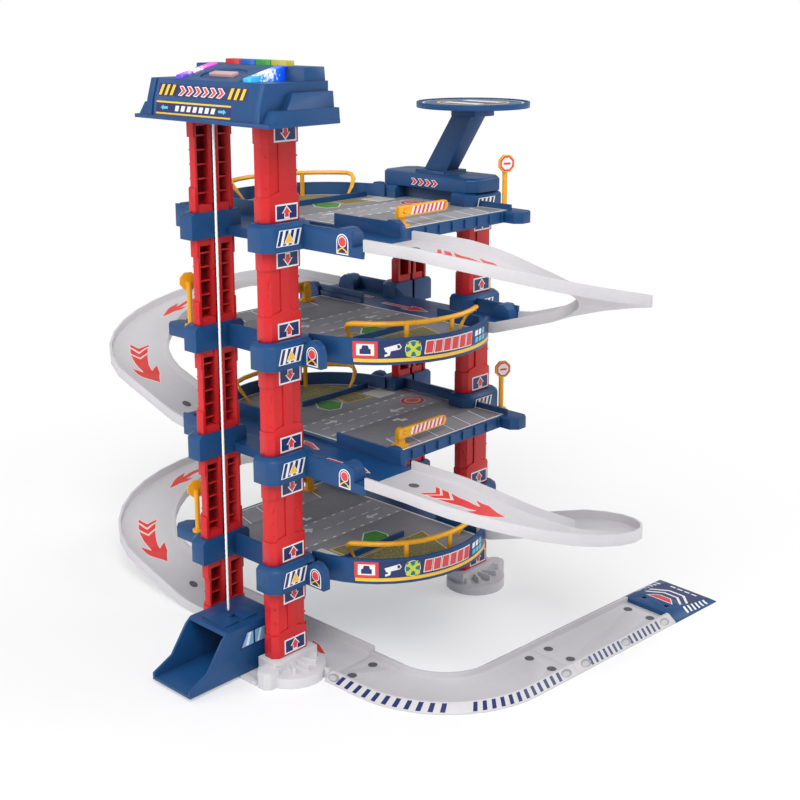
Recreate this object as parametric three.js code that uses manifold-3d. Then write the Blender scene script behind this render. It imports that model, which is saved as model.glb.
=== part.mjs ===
// Toy parking garage with a lift, four decks, U-turn ramps and a ground track.
// Millimetres, +Z up. The origin is on the ground at the centre line of the front right column.
// +X runs from the front columns to the rear ones, +Y from the right columns to the left ones.
import * as THREE from 'three';
import { mergeVertices } from 'three/addons/utils/BufferGeometryUtils.js';
import Module from 'manifold-3d';

const wasm = await Module();
wasm.setup();

// Driving dimensions
const seat = 0.3; // gap between pieces that touch
const overrun = 1; // how far a cut runs past a face
const join = 0.5; // how far the parts of one moulding run into each other
const levelCount = 4;
const levelPitch = 95;
const firstLevel = 80; // underside of the lowest deck
const bayLength = 241.8; // column centres along X
const bayWidth = 85.5; // column centres along Y
const topStorey = 77; // front columns from the highest deck's collars up to the roof
const arcStep = THREE.MathUtils.degToRad(9.6);
const archStep = Math.PI / 5; // column and dome arches, post heads
const octant = Math.PI / 4;
const weld = 0.001; // corners closer than this become one

// Sides of the round pieces
const sides = { tube: 6, peg: 8, pin: 10, wheel: 12, can: 16, disc: 24, pad: 32 };

// Column modules: shallow channels, open towards the lift shaft
const column = {
  width: 40,
  depth: 13,
  corner: 4.5,
  waist: 1.2, // how much the middle is narrower on each side
  wall: 1.8,
  lowerFlare: 20,
  upperFlare: 15,
  archRise: 4,
  railWidth: 11,
  grooveWidth: 3.2,
  grooveDepth: 4.5,
  rungPitch: 11.8,
  rungThickness: 1.4,
  rungInset: 3,
  liftRungs: 5, // front columns, which guide the lift
  plainRungs: 1,
  neckEngage: 6, // how far the neck reaches into the next module
  ribWidth: 10, // upright rib on the front of the waist
};

// Base plates with one foot under each column
const foot = {
  top: 18.5,
  discRadius: 29,
  discHeight: 9,
  discOffset: 5, // disc centre outside the column centre
  socketDepth: 6,
  socketWall: 4,
  heelLength: 17, // block on the lift side of the disc
  heelWidth: 30,
  heelHeight: 15,
  plate: 3, // thin bar that links the two feet
  plateWidth: 36,
  ribs: 5,
  ribThickness: 2.2,
};

// Collar of a deck round a column
const collar = {
  height: 22,
  aside: 6,
  front: 8,
  shaft: 1.8,
  corner: 7,
  bevel: 3,
};

// Decks. Places are those of an even deck; an odd one is turned half a turn.
const deck = {
  floorTop: 10,
  laneTop: 8,
  floor: 2.4,
  wall: 2.4,
  wallTop: 20,
  laneLeft: 12,
  laneWidth: 57,
  laneOut: -80, // where the lane hands over to the ramp that leads down
  laneIn: 148, // where the ramp from above arrives
  edge: -50, // straight edge of the parking floor
  endInset: 9.8, // rear end of the parking floor, before the rear columns' centre line
  bulgeY: 78,
  bulgeOverlap: 1.1, // how far the round side runs into the rear collar
  domeWidth: 21,
  domeDepth: 14,
  domeEnd: -69,
  tabWidth: 22,
  tabReach: 17,
  tabCorner: 6,
  fasciaRibs: 8,
  fasciaRib: 1.6,
  fasciaStart: 31, // first rib, beyond the lane
  fasciaStop: 16, // last rib, before the rear end
  dividerY: 104,
  dividerStart: 50,
  dividerStop: 27,
  dividerHeight: 5,
};

// Ramps and ground track: an open channel of one section
const track = {
  width: 57,
  wall: 2.4,
  floor: 2.2,
  height: 9.5,
  above: 5.8, // underside above the level's zero where a ramp meets a deck
  turnY: -140,
  levelRun: 45, // level length at the top of a ramp
  easeRun: 80,
  landing: 20,
  step: 19,
};
const ground = {
  top: 7,
  foot: 1.5, // edge height of the sloping rim
  straightEnd: -36,
  turnStart: -72,
  turnRadius: 78,
  turnAngle: THREE.MathUtils.degToRad(86),
  curveLead: 52, // straight length at the end of the curve piece
  straight: 138,
  endRamp: 65,
  endSlope: 40,
  endHeight: 6,
  flange: 4, // half the width of the sloping rim
  holeRadius: 2.4,
  holeSpread: 25,
};

// Fittings on the decks, in the places of an even deck
const sign = {
  beyond: 5.6, // behind the rear end of the floor
  y: -37,
  lean: THREE.MathUtils.degToRad(23),
  height: 40,
  radius: 8.2,
  post: 2.4,
  base: 5,
  thickness: 2.4,
};
const gate = {
  aside: 29, // beyond the lane
  y: -39,
  pivot: 23,
  postWidth: 8,
  postDepth: 4.5,
  base: 5.5,
  baseHeight: 2,
  pin: 1.8,
  pinReach: 3.9,
  armLength: 54,
  armHeight: 9,
  armDepth: 3,
  tail: 7,
};
const rail = {
  inset: 9,
  height: 24,
  tube: 4.4,
  curl: 8,
  curlAngle: THREE.MathUtils.degToRad(150),
  from: THREE.MathUtils.degToRad(30),
  to: THREE.MathUtils.degToRad(116),
  curlSteps: 4,
  posts: 2,
};

// Lift cab, from its own underside
const cab = {
  front: -91,
  back: 6,
  width: 49.5,
  height: 42.7,
  floor: 2.4,
  wall: 2.2,
  roofFront: -50,
  browFront: -56,
  brow: 5,
  cheekFront: -72,
  cheekHeight: 15,
  lip: 6,
  guideWidth: 8,
  fin: 2,
  finEngage: 2.5,
  panelInset: 5,
  panelLength: 15,
  panelWidth: 30,
  panelRise: 1.2,
  eye: 4,
  eyeRise: 2.5,
};

// Roof housing, from its own underside
const roof = {
  front: -40,
  back: 30,
  aside: 32.75, // lowest side step, beyond the columns
  height: 32, // front edge of the top
  top: 42.5, // raised rear part, which holds the buttons
  lip: 3,
  slope: 7, // how far the front leans back up to its edge
  brow: 15, // height from which it leans more
  browSlope: 2,
  step: 6.5, // width of a side step
  stepHeight: 12.2,
  stepBack: 21, // front of the second side step, behind the first
  draft: 1,
  wall: 2.5,
  plate: 3,
  frame: 7, // raised border at each end of the front
  frameProud: 1.5,
  rearFrom: 8, // front of the raised rear part
  rearInset: 3,
  saddle: 36, // half the width of the sloping middle
  dishX: -16,
  dishLength: 24, // radius along Y
  dishWidth: 14,
  dishDepth: 1.2,
};
const winch = {
  x: -20,
  z: 17, // axis above the underside of the roof
  drum: 7,
  length: 16,
  flange: 2,
  flangeRadius: 10,
  axle: 2,
  bearing: 5,
  bearingWidth: 4,
  motorFrom: 14,
  motorLength: 22,
  motorRadius: 9,
  cradle: 6,
  string: 1.2,
};
const lens = { from: -28, width: 9, proud: 1.2, strip: 6, flange: 2 };
const button = { x: 20.5, length: 18, width: 9, pitch: 18.6, height: 4, flange: 1.5 };

// Helipad on the rear columns
const pad = {
  rise: 75.7, // underside of the round deck above that of the bridge
  radius: 51.5,
  deckHeight: 5,
  edge: 2,
  bridgeWidth: 46,
  bridgeLength: 117,
  bridgeHeight: 13,
  corner: 8,
  step: 3,
  footWidth: 32,
  footLength: 36,
  strutWidth: 16,
  strutDepth: 28,
  spread: 6,
  leanX: -2,
  leanY: -40,
};

const half = (value) => value / 2;
const levelZ = (level) => firstLevel + (level - 1) * levelPitch;
const roofBottom = levelZ(levelCount) + collar.height + topStorey;
const drumZ = roofBottom + winch.z;
const stringX = winch.x - winch.drum - winch.string - seat;
const deckMiddle = { x: bayLength / 2, y: bayWidth / 2 };
const isTurned = (level) => level % 2 === 1;
const shaftFace = half(column.depth); // open side of a column, from its centre line
const deckEnd = bayLength - deck.endInset;
const bulge = {
  x: half(bayLength),
  y: deck.bulgeY,
  radius: half(bayLength) - half(column.width) - collar.aside + deck.bulgeOverlap,
};
const buttonPlaces = [
  { name: 'button_red', color: 0xd62f36 },
  { name: 'button_blue', color: 0x1560c0 },
  { name: 'button_green', color: 0x2e9b3c },
  { name: 'button_yellow', color: 0xf0c83a },
].map((entry, i, all) => ({ ...entry, y: (half(all.length - 1) - i) * button.pitch }));

// Colours of the mouldings
function paint(color, roughness = 0.35) {
  return new THREE.MeshStandardMaterial({ color, roughness, metalness: 0 });
}
const blue = () => paint(0x305a8c);
const red = () => paint(0xd8393b);
const grey = () => paint(0xcfcdd0);
const paleGrey = () => paint(0xdededf);
const yellow = () => paint(0xf4b12b);

// Closed mesh to solid and back
function solid(geometry) {
  const bare = geometry.index ? geometry : geometry.clone();
  bare.deleteAttribute('normal');
  bare.deleteAttribute('uv');
  const merged = mergeVertices(bare);
  return new wasm.Manifold(
    new wasm.Mesh({
      numProp: 3,
      vertProperties: new Float32Array(merged.attributes.position.array),
      triVerts: new Uint32Array(merged.index.array),
    }),
  );
}

function surface(body) {
  const mesh = body.asOriginal().simplify(weld).getMesh();
  const geometry = new THREE.BufferGeometry();
  geometry.setAttribute('position', new THREE.BufferAttribute(new Float32Array(mesh.vertProperties), 3));
  geometry.setIndex(new THREE.BufferAttribute(new Uint32Array(mesh.triVerts), 1));
  return geometry;
}

const joined = (...bodies) => bodies.flat().reduce((whole, body) => whole.add(body));
const cut = (body, ...cutters) => cutters.flat().reduce((rest, cutter) => rest.subtract(cutter), body);

// Outlines are lists of [a, b] points, counter-clockwise
const shapeOf = (outline) => new THREE.Shape(outline.map(([a, b]) => new THREE.Vector2(a, b)));

function extruded(outline, depth) {
  return new THREE.ExtrudeGeometry(shapeOf(outline), { depth, bevelEnabled: false });
}

function upright(outline, bottom, top) {
  return solid(extruded(outline, top - bottom).translate(0, 0, bottom));
}

// Outline in Y and Z, run along X
function alongX(outline, from, to) {
  const geometry = extruded(outline, to - from);
  geometry.rotateX(Math.PI / 2);
  geometry.rotateZ(Math.PI / 2);
  return solid(geometry.translate(from, 0, 0));
}

// Outline in X and Z, run along Y
function alongY(outline, from, to) {
  const geometry = extruded(outline, to - from);
  geometry.rotateX(Math.PI / 2);
  return solid(geometry.translate(0, to, 0));
}

function box(x, y, z) {
  const size = [x, y, z].map(([from, to]) => to - from);
  const geometry = new THREE.BoxGeometry(...size);
  const middle = [x, y, z].map(([from, to]) => half(from + to));
  return solid(geometry.translate(...middle));
}

const rectangle = ([left, right], [front, back]) => [
  [left, front],
  [right, front],
  [right, back],
  [left, back],
];

function arc(x, y, radius, from, to, step = arcStep) {
  const steps = Math.max(2, Math.ceil(Math.abs(to - from) / step - 1e-6));
  const points = [];
  for (let i = 0; i <= steps; i += 1) {
    const angle = from + ((to - from) * i) / steps;
    points.push([x + radius * Math.cos(angle), y + radius * Math.sin(angle)]);
  }
  return points;
}

function circle(x, y, radius, count) {
  return arc(x, y, radius, 0, 2 * Math.PI, (2 * Math.PI) / count).slice(1);
}
const round = (x, y, radius, bottom, top, count) => upright(circle(x, y, radius, count), bottom, top);
const mirrored = (span) => [-span, span];

// Rectangle with its four corners cut off
function chamfered([left, right], [front, back], corner) {
  return [
    [left + corner, front],
    [right - corner, front],
    [right, front + corner],
    [right, back - corner],
    [right - corner, back],
    [left + corner, back],
    [left, back - corner],
    [left, front + corner],
  ];
}

// Walls of two outlines with as many points, one above the other
function loft(lower, bottom, upper, top) {
  const count = lower.length;
  const positions = [];
  lower.forEach(([x, y]) => positions.push(x, y, bottom));
  upper.forEach(([x, y]) => positions.push(x, y, top));
  const index = [];
  for (let i = 0; i < count; i += 1) {
    const next = (i + 1) % count;
    index.push(i, next, count + next, i, count + next, count + i);
  }
  const cap = THREE.ShapeUtils.triangulateShape(lower.map(([x, y]) => new THREE.Vector2(x, y)), []);
  cap.forEach(([a, b, c]) => index.push(a, c, b, count + a, count + b, count + c));
  const geometry = new THREE.BufferGeometry();
  geometry.setAttribute('position', new THREE.Float32BufferAttribute(positions, 3));
  geometry.setIndex(index);
  return solid(geometry);
}

// Upright sections set at stations, each with x, y, z and a heading, and skinned in that order.
// A section is a list of [across, up] points, with across positive to the right of the heading.
function skin(sections, stations) {
  const count = sections[0].length;
  const positions = [];
  stations.forEach(({ x, y, z, heading }, s) => {
    const side = [Math.sin(heading), -Math.cos(heading)];
    sections[s].forEach(([across, up]) => {
      positions.push(x + side[0] * across, y + side[1] * across, z + up);
    });
  });
  const index = [];
  for (let s = 0; s + 1 < stations.length; s += 1) {
    for (let i = 0; i < count; i += 1) {
      const next = (i + 1) % count;
      const near = s * count;
      const far = near + count;
      index.push(near + i, far + i, far + next, near + i, far + next, near + next);
    }
  }
  const end = (stations.length - 1) * count;
  const cap = THREE.ShapeUtils.triangulateShape(sections[0].map(([a, b]) => new THREE.Vector2(a, b)), []);
  cap.forEach(([a, b, c]) => index.push(a, b, c, end + a, end + c, end + b));
  const geometry = new THREE.BufferGeometry();
  geometry.setAttribute('position', new THREE.Float32BufferAttribute(positions, 3));
  geometry.setIndex(index);
  return solid(geometry);
}
const sweep = (profile, stations) => skin(stations.map(() => profile), stations);
const taper = (first, from, last, to) => skin([first, last], [from, to]);

// The assembled toy
const garage = new THREE.Group();

function place(name, body, material, { x = 0, y = 0, z = 0, turn = 0 } = {}) {
  const mesh = new THREE.Mesh(surface(body), material);
  mesh.name = name;
  mesh.position.set(x, y, z);
  mesh.rotation.z = turn;
  garage.add(mesh);
}

// Places something of a deck: on an odd level it is turned half a turn about the middle of the columns
function placeOnLevel(name, body, material, level) {
  if (isTurned(level)) {
    place(name, body, material, { x: bayLength, y: bayWidth, z: levelZ(level), turn: Math.PI });
  } else {
    place(name, body, material, { z: levelZ(level) });
  }
}

// Column modules
const columnOutline = (inset) => {
  const side = half(column.width) - inset;
  const front = inset - shaftFace;
  return [
    [column.corner - side, front],
    [side - column.corner, front],
    [side, front + column.corner],
    [side, shaftFace],
    [-side, shaftFace],
    [-side, front + column.corner],
  ];
};
const channelSide = half(column.width) - column.waist - column.wall;
const channelFront = column.waist + column.wall - shaftFace;
const channelDraft = column.corner / (shaftFace - channelFront);
const channelOutline = (inset, back) => {
  const front = channelFront + inset;
  const sideAt = (y) => channelSide - inset * (1 + channelDraft) - channelDraft * (shaftFace - y);
  return [
    [-sideAt(front), front],
    [sideAt(front), front],
    [sideAt(back), back],
    [-sideAt(back), back],
  ];
};
const neckBack = shaftFace - overrun;

function columnModule(height, rungCount, reach) {
  const archSide = half(column.width) - column.corner;
  const arch = arc(0, 0, 1, 0, Math.PI, archStep).map(([across, up]) => [
    archSide * across,
    column.lowerFlare + column.archRise * up,
  ]);
  const archPanel = [[-archSide, 0], [archSide, 0], ...arch];
  const shell = joined(
    upright(columnOutline(column.waist), 0, height),
    upright(columnOutline(0), 0, column.lowerFlare),
    upright(columnOutline(0), height - column.upperFlare, height),
    alongY(archPanel, -shaftFace, column.waist - shaftFace + join),
    box(mirrored(half(column.ribWidth)), [-shaftFace, column.waist - shaftFace + join], [
      column.lowerFlare,
      height - half(column.upperFlare),
    ]),
  );
  const hollow = cut(shell, upright(channelOutline(0, shaftFace + overrun), -overrun, height + overrun));
  const engaged = column.neckEngage + seat;
  const neckTop = height + reach + column.neckEngage;
  const inside = [channelFront - join, shaftFace - column.rungInset];
  const rungs = [];
  for (let i = 0; i < rungCount; i += 1) {
    const z = half(height) + (i - half(rungCount - 1)) * column.rungPitch;
    rungs.push(box([-channelSide, channelSide], inside, [z, z + column.rungThickness]));
  }
  const module = joined(
    hollow,
    rungs,
    box(mirrored(half(column.railWidth)), [channelFront - join, shaftFace], [engaged, height]),
    upright(channelOutline(-join, neckBack), height - column.neckEngage, height),
    upright(channelOutline(seat, neckBack), height - join, neckTop),
  );
  const groove = [shaftFace - column.grooveDepth, shaftFace + overrun];
  return cut(module, box(mirrored(half(column.grooveWidth)), groove, [-overrun, neckTop + overrun]));
}

// Right columns open towards +Y, left ones towards -Y. The front ones guide the lift up into the roof.
const guiding = { tiers: levelCount + 1, rungs: column.liftRungs };
const plain = { tiers: levelCount, rungs: column.plainRungs };
const columnPlaces = [
  { name: 'front_right', x: 0, y: 0, turn: 0, ...guiding },
  { name: 'front_left', x: 0, y: bayWidth, turn: Math.PI, ...guiding },
  { name: 'rear_right', x: bayLength, y: 0, turn: 0, ...plain },
  { name: 'rear_left', x: bayLength, y: bayWidth, turn: Math.PI, ...plain },
];

columnPlaces.forEach(({ name, x, y, turn, tiers, rungs }) => {
  for (let tier = 1; tier <= tiers; tier += 1) {
    const bottom = tier === 1 ? foot.top + seat : levelZ(tier - 1) + collar.height + seat;
    const underRoof = tier > levelCount;
    const top = (underRoof ? roofBottom : levelZ(tier)) - seat;
    const reach = underRoof ? 0 : collar.height + 2 * seat;
    const module = columnModule(top - bottom, rungs, reach);
    place(`column_${name}_${tier}`, module, red(), { x, y, z: bottom, turn });
  }
});

// Base plates: the front one carries the front columns, the rear one is its turned twin
function footAt(y, facing) {
  const at = (outline) => outline.map(([a, b]) => [facing * a, y + facing * b]);
  const centre = y - facing * foot.discOffset;
  const socket = half(column.width) + foot.socketWall;
  const block = rectangle([-socket, socket], [-shaftFace - foot.socketWall, shaftFace + foot.socketWall]);
  const ribs = [];
  for (let i = 0; i < foot.ribs; i += 1) {
    const lean = Math.PI + (Math.PI * (i + 1)) / (foot.ribs + 1);
    const reach = foot.discRadius - foot.socketWall;
    const along = [Math.cos(lean) * reach, Math.sin(lean) * reach];
    const across = [-Math.sin(lean) * half(foot.ribThickness), Math.cos(lean) * half(foot.ribThickness)];
    const outline = [
      [across[0], across[1]],
      [-across[0], -across[1]],
      [along[0] - across[0], along[1] - across[1]],
      [along[0] + across[0], along[1] + across[1]],
    ];
    ribs.push(upright(at([...outline].reverse()), foot.plate, half(foot.discHeight + foot.top)));
  }
  const shaft = shaftFace + foot.socketWall;
  const beyond = rectangle(mirrored(foot.discRadius + overrun), [shaft, shaft + foot.discRadius]);
  const disc = round(0, centre, foot.discRadius, 0, foot.discHeight, sides.disc);
  return joined(
    cut(disc, upright(at(beyond), -overrun, foot.top)),
    upright(at(block), 0, foot.top),
    ribs,
  );
}

function basePlate() {
  const heel = [-half(column.width) - foot.heelLength, -half(column.width)];
  const heelFront = foot.heelWidth - foot.discRadius;
  const feet = [footAt(0, 1), footAt(bayWidth, -1)];
  const heels = [
    upright(chamfered(heel, [-half(foot.heelWidth), heelFront], foot.socketWall), 0, foot.heelHeight),
    upright(
      chamfered(heel, [bayWidth - heelFront, bayWidth + half(foot.heelWidth)], foot.socketWall),
      0,
      foot.heelHeight,
    ),
  ];
  const bar = box([heel[0], heel[0] + foot.plateWidth], [0, bayWidth], [0, foot.plate]);
  const neck = (y, facing) =>
    upright(
      channelOutline(0, neckBack).map(([a, b]) => [facing * a, y + facing * b]),
      foot.top - foot.socketDepth,
      foot.top + overrun,
    );
  return cut(joined(feet, heels, bar), neck(0, 1), neck(bayWidth, -1));
}

place('base_front', basePlate(), paleGrey());
place('base_rear', basePlate(), paleGrey(), { x: bayLength, y: bayWidth, turn: Math.PI });

// Decks
const laneRight = deck.laneLeft + deck.laneWidth;
const laneMiddle = deck.laneLeft + half(deck.laneWidth);
const bulgeArc = (radius, from, to) => arc(bulge.x, bulge.y, radius, from, to);
const bulgeStart = Math.asin((bayWidth + half(collar.front) - bulge.y) / bulge.radius);
const bulgeEnd = Math.acos((laneRight + seat - bulge.x) / bulge.radius);

function collarOutline(x, y, facing, inset) {
  const side = half(column.width) + collar.aside - inset;
  const front = inset - shaftFace - collar.front;
  const back = shaftFace + collar.shaft;
  return [
    [collar.corner - side, front],
    [side - collar.corner, front],
    [side, front + collar.corner],
    [side, back],
    [-side, back],
    [-side, front + collar.corner],
  ].map(([a, b]) => [x + facing * a, y + facing * b]);
}

// Columns as the decks meet them: facing is +1 where the shaft lies towards +Y
const collarPlaces = columnPlaces.map(({ x, y }) => ({ x, y, facing: y > deckMiddle.y ? -1 : 1 }));

const collars = () =>
  collarPlaces.flatMap(({ x, y, facing }) => [
    upright(collarOutline(x, y, facing, 0), 0, collar.height - collar.bevel),
    loft(
      collarOutline(x, y, facing, 0),
      collar.height - collar.bevel,
      collarOutline(x, y, facing, collar.bevel),
      collar.height,
    ),
  ]);

const collarHoles = () =>
  collarPlaces.flatMap(({ x, y, facing }) => {
    const turned = ([a, b]) => [x + facing * a, y + facing * b];
    const slot = rectangle(mirrored(half(column.grooveWidth)), [
      half(column.grooveWidth),
      shaftFace + collar.shaft + overrun,
    ]);
    return [
      upright(channelOutline(0, neckBack + seat).map(turned), -overrun, collar.height + overrun),
      upright(slot.map(turned), -overrun, collar.height + overrun),
    ];
  });

// Rounded block that ends a wall of the lane: an arch seen from the side
function dome(x, y, thickness) {
  const radius = half(deck.domeWidth);
  const rise = collar.height - radius;
  const arch = arc(y, rise, radius, 0, Math.PI, archStep);
  return alongX([[y - radius, 0], [y + radius, 0], ...arch], x, x + thickness);
}

function deckBody() {
  const bottom = deck.floorTop - deck.floor;
  const inner = [deck.laneLeft + deck.wall, laneRight - deck.wall];
  const front = shaftFace + collar.front - seat;
  const parking = [
    [laneRight - deck.wall, deck.edge],
    [deckEnd, deck.edge],
    [deckEnd, bayWidth + half(collar.front)],
    ...bulgeArc(bulge.radius, bulgeStart, bulgeEnd),
    [laneRight + seat, deck.laneIn],
    [laneRight - deck.wall, deck.laneIn],
  ];
  const rim = [
    ...bulgeArc(bulge.radius, bulgeStart, bulgeEnd),
    ...bulgeArc(bulge.radius - deck.wall, bulgeEnd, bulgeStart),
  ];
  const tab = chamfered(
    [deckEnd - half(deck.tabWidth), deckEnd + half(deck.tabWidth)],
    [deck.edge - deck.tabReach, -front - join],
    deck.tabCorner,
  );
  const middleHigh = half(deck.wallTop + deck.floorTop);
  const divider = [laneRight + deck.dividerStart, deckEnd - deck.dividerStop];
  const walls = [
    box([deck.laneLeft, inner[0]], [deck.domeEnd + join, -front], [0, deck.wallTop]),
    box([deck.laneLeft, inner[0]], [bayWidth + front, deck.laneIn], [0, deck.wallTop]),
    box([deck.laneLeft, inner[0]], [deck.laneOut, deck.laneIn], [0, deck.laneTop]),
    box([inner[1], laneRight], [deck.domeEnd + join, shaftFace], [0, deck.wallTop]),
    box([inner[1], laneRight + deck.wall], [deck.domeEnd + join, shaftFace], [0, middleHigh]),
    box([inner[1], laneRight], [deck.laneOut, deck.laneIn], [0, deck.laneTop]),
    box([inner[1], laneRight], [bayWidth + front, deck.laneIn], [0, deck.wallTop]),
    box([deckEnd - deck.wall, deckEnd], [-front, bayWidth + front], [0, deck.wallTop]),
    box([deckEnd - deck.wall, deckEnd], [deck.edge, -front], [0, middleHigh]),
    box([laneRight - join, deckEnd], [deck.edge, deck.edge + deck.wall], [0, deck.floorTop]),
    box(divider, [deck.dividerY, deck.dividerY + deck.wall], [bottom, deck.floorTop + deck.dividerHeight]),
  ];
  const ribs = [];
  const firstRib = laneRight + deck.fasciaStart;
  const ribPitch = (deckEnd - deck.fasciaStop - firstRib) / (deck.fasciaRibs - 1);
  for (let i = 0; i < deck.fasciaRibs; i += 1) {
    const x = firstRib + i * ribPitch;
    const z = [deck.fasciaRib, deck.floorTop - half(deck.fasciaRib)];
    ribs.push(box([x, x + deck.fasciaRib], [deck.edge - deck.fasciaRib, deck.edge + join], z));
  }
  const domes = [
    dome(deck.laneLeft, deck.domeEnd + half(deck.domeWidth), deck.domeDepth),
    dome(inner[1], deck.domeEnd + half(deck.domeWidth), half(deck.domeDepth)),
    dome(deck.laneLeft, deck.laneIn - half(deck.domeWidth), deck.domeDepth),
    dome(deckEnd - half(deck.domeDepth), bayWidth + front + half(deck.domeWidth), half(deck.domeDepth)),
  ];
  const whole = joined(
    upright(parking, bottom, deck.floorTop),
    box([deck.laneLeft, laneRight], [deck.laneOut, deck.laneIn], [deck.laneTop - deck.floor, deck.laneTop]),
    upright(rim, 0, collar.height),
    upright(tab, 0, deck.floorTop),
    walls,
    ribs,
    domes,
    collars(),
  );
  return cut(whole, collarHoles());
}

for (let level = 1; level <= levelCount; level += 1) {
  placeOnLevel(`deck_${level}`, deckBody(), blue(), level);
}

// U-turn ramps
const section = (width, wall, floor, height) => [
  [-half(width), 0],
  [half(width), 0],
  [half(width), height],
  [half(width) - wall, height],
  [half(width) - wall, floor],
  [wall - half(width), floor],
  [wall - half(width), height],
  [-half(width), height],
];
const trackSection = section(track.width, track.wall, track.floor, track.height);
const turnRadius = half(bayLength) - laneMiddle;

// Height lost after a run along the ramp: level, then easing into one slope, with a level landing
function dropAfter(run, length, drop) {
  const slope = drop / (length - track.levelRun - half(track.easeRun) - half(track.landing));
  const eased = Math.min(Math.max(run - track.levelRun, 0), track.easeRun);
  const straight = Math.max(run - track.levelRun - track.easeRun, 0);
  const landed = Math.max(run - length + track.landing, 0);
  return slope * (eased ** 2 / (2 * track.easeRun) + straight - landed ** 2 / (2 * track.landing));
}

// Ramp from the outgoing lane of an even deck round to the lane of the deck below
function rampStations(drop) {
  const start = deck.laneOut - seat;
  const lead = start - track.turnY;
  const arrive = bayWidth - deck.laneIn - seat;
  const turn = Math.PI * turnRadius;
  const length = lead + turn + (arrive - track.turnY);
  const runs = [];
  const addRuns = (from, to) => {
    const count = Math.ceil((to - from) / track.step);
    for (let i = 0; i < count; i += 1) runs.push(from + ((to - from) * i) / count);
  };
  addRuns(0, lead);
  addRuns(lead, lead + turn);
  addRuns(lead + turn, length);
  runs.push(length);
  const high = track.above;
  return runs.map((run) => {
    const z = high - dropAfter(run, length, drop);
    if (run < lead) return { x: laneMiddle, y: start - run, z, heading: -Math.PI / 2 };
    const swept = Math.min((run - lead) / turnRadius, Math.PI);
    const rest = Math.max(run - lead - turn, 0);
    return {
      x: half(bayLength) - turnRadius * Math.cos(swept),
      y: track.turnY - turnRadius * Math.sin(swept) + rest,
      z,
      heading: swept - Math.PI / 2,
    };
  });
}

for (let level = levelCount; level > 1; level -= 1) {
  const ramp = sweep(trackSection, rampStations(levelPitch));
  placeOnLevel(`ramp_${level}_to_${level - 1}`, ramp, grey(), level);
}

// The lowest ramp runs on along the ground between the feet
const footCutters = columnPlaces
  .filter(({ x }) => x > 0)
  .map(({ x, y }) => {
    const centre = y > deckMiddle.y ? y + foot.discOffset : y - foot.discOffset;
    return round(x, centre, foot.discRadius + seat, -levelPitch, 0, sides.disc);
  });

function lowestRamp() {
  const stations = rampStations(levelZ(1) + track.above);
  const last = stations[stations.length - 1];
  const runOut = bayWidth - ground.straightEnd - last.y;
  stations.push({ ...last, y: last.y + runOut });
  return cut(sweep(trackSection, stations), footCutters);
}

placeOnLevel('ramp_1_to_ground', lowestRamp(), grey(), 1);

// Ground track: a curve, a straight and an end ramp with sloping rims
const groundSection = [
  [-half(track.width) - ground.flange, 0],
  [half(track.width) + ground.flange, 0],
  [half(track.width) + ground.flange, ground.foot],
  [half(track.width) - ground.flange, ground.top],
  [half(track.width) - ground.flange - track.wall, ground.top],
  [half(track.width) - ground.flange - track.wall, track.floor],
  [ground.flange + track.wall - half(track.width), track.floor],
  [ground.flange + track.wall - half(track.width), ground.top],
  [ground.flange - half(track.width), ground.top],
  [-half(track.width) - ground.flange, ground.foot],
];
const exitHeading = ground.turnAngle - Math.PI / 2;
const turnEnd = {
  x: laneMiddle + ground.turnRadius * (1 - Math.cos(ground.turnAngle)),
  y: ground.turnStart - ground.turnRadius * Math.sin(ground.turnAngle),
};
const alongExit = (run) => ({
  x: turnEnd.x + run * Math.cos(exitHeading),
  y: turnEnd.y + run * Math.sin(exitHeading),
  z: 0,
  heading: exitHeading,
});

// Four round holes in a square, for the pegs under a track joint
function pegHoles({ x, y, heading }, back) {
  const holes = [-1, 1].flatMap((side) =>
    back.map((along) => {
      const across = side * half(ground.holeSpread);
      const cx = x + along * Math.cos(heading) - across * Math.sin(heading);
      const cy = y + along * Math.sin(heading) + across * Math.cos(heading);
      return round(cx, cy, ground.holeRadius, -overrun, ground.top, sides.peg);
    }),
  );
  return holes;
}

function groundCurve() {
  const stations = [{ x: laneMiddle, y: ground.straightEnd - seat, z: 0, heading: -Math.PI / 2 }];
  const steps = Math.ceil((ground.turnAngle * ground.turnRadius) / half(track.step));
  for (let i = 0; i <= steps; i += 1) {
    const swept = (ground.turnAngle * i) / steps;
    stations.push({
      x: laneMiddle + ground.turnRadius * (1 - Math.cos(swept)),
      y: ground.turnStart - ground.turnRadius * Math.sin(swept),
      z: 0,
      heading: swept - Math.PI / 2,
    });
  }
  stations.push(alongExit(ground.curveLead));
  const body = sweep(groundSection, stations);
  return cut(
    body,
    pegHoles(stations[0], [half(ground.holeSpread)]),
    pegHoles(alongExit(ground.curveLead), [-half(ground.holeSpread)]),
  );
}

function groundStraight() {
  const from = ground.curveLead + seat;
  const to = from + ground.straight;
  const body = sweep(groundSection, [alongExit(from), alongExit(to)]);
  return cut(
    body,
    pegHoles(alongExit(from), [half(ground.holeSpread)]),
    pegHoles(alongExit(to), [-half(ground.holeSpread)]),
  );
}

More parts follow.
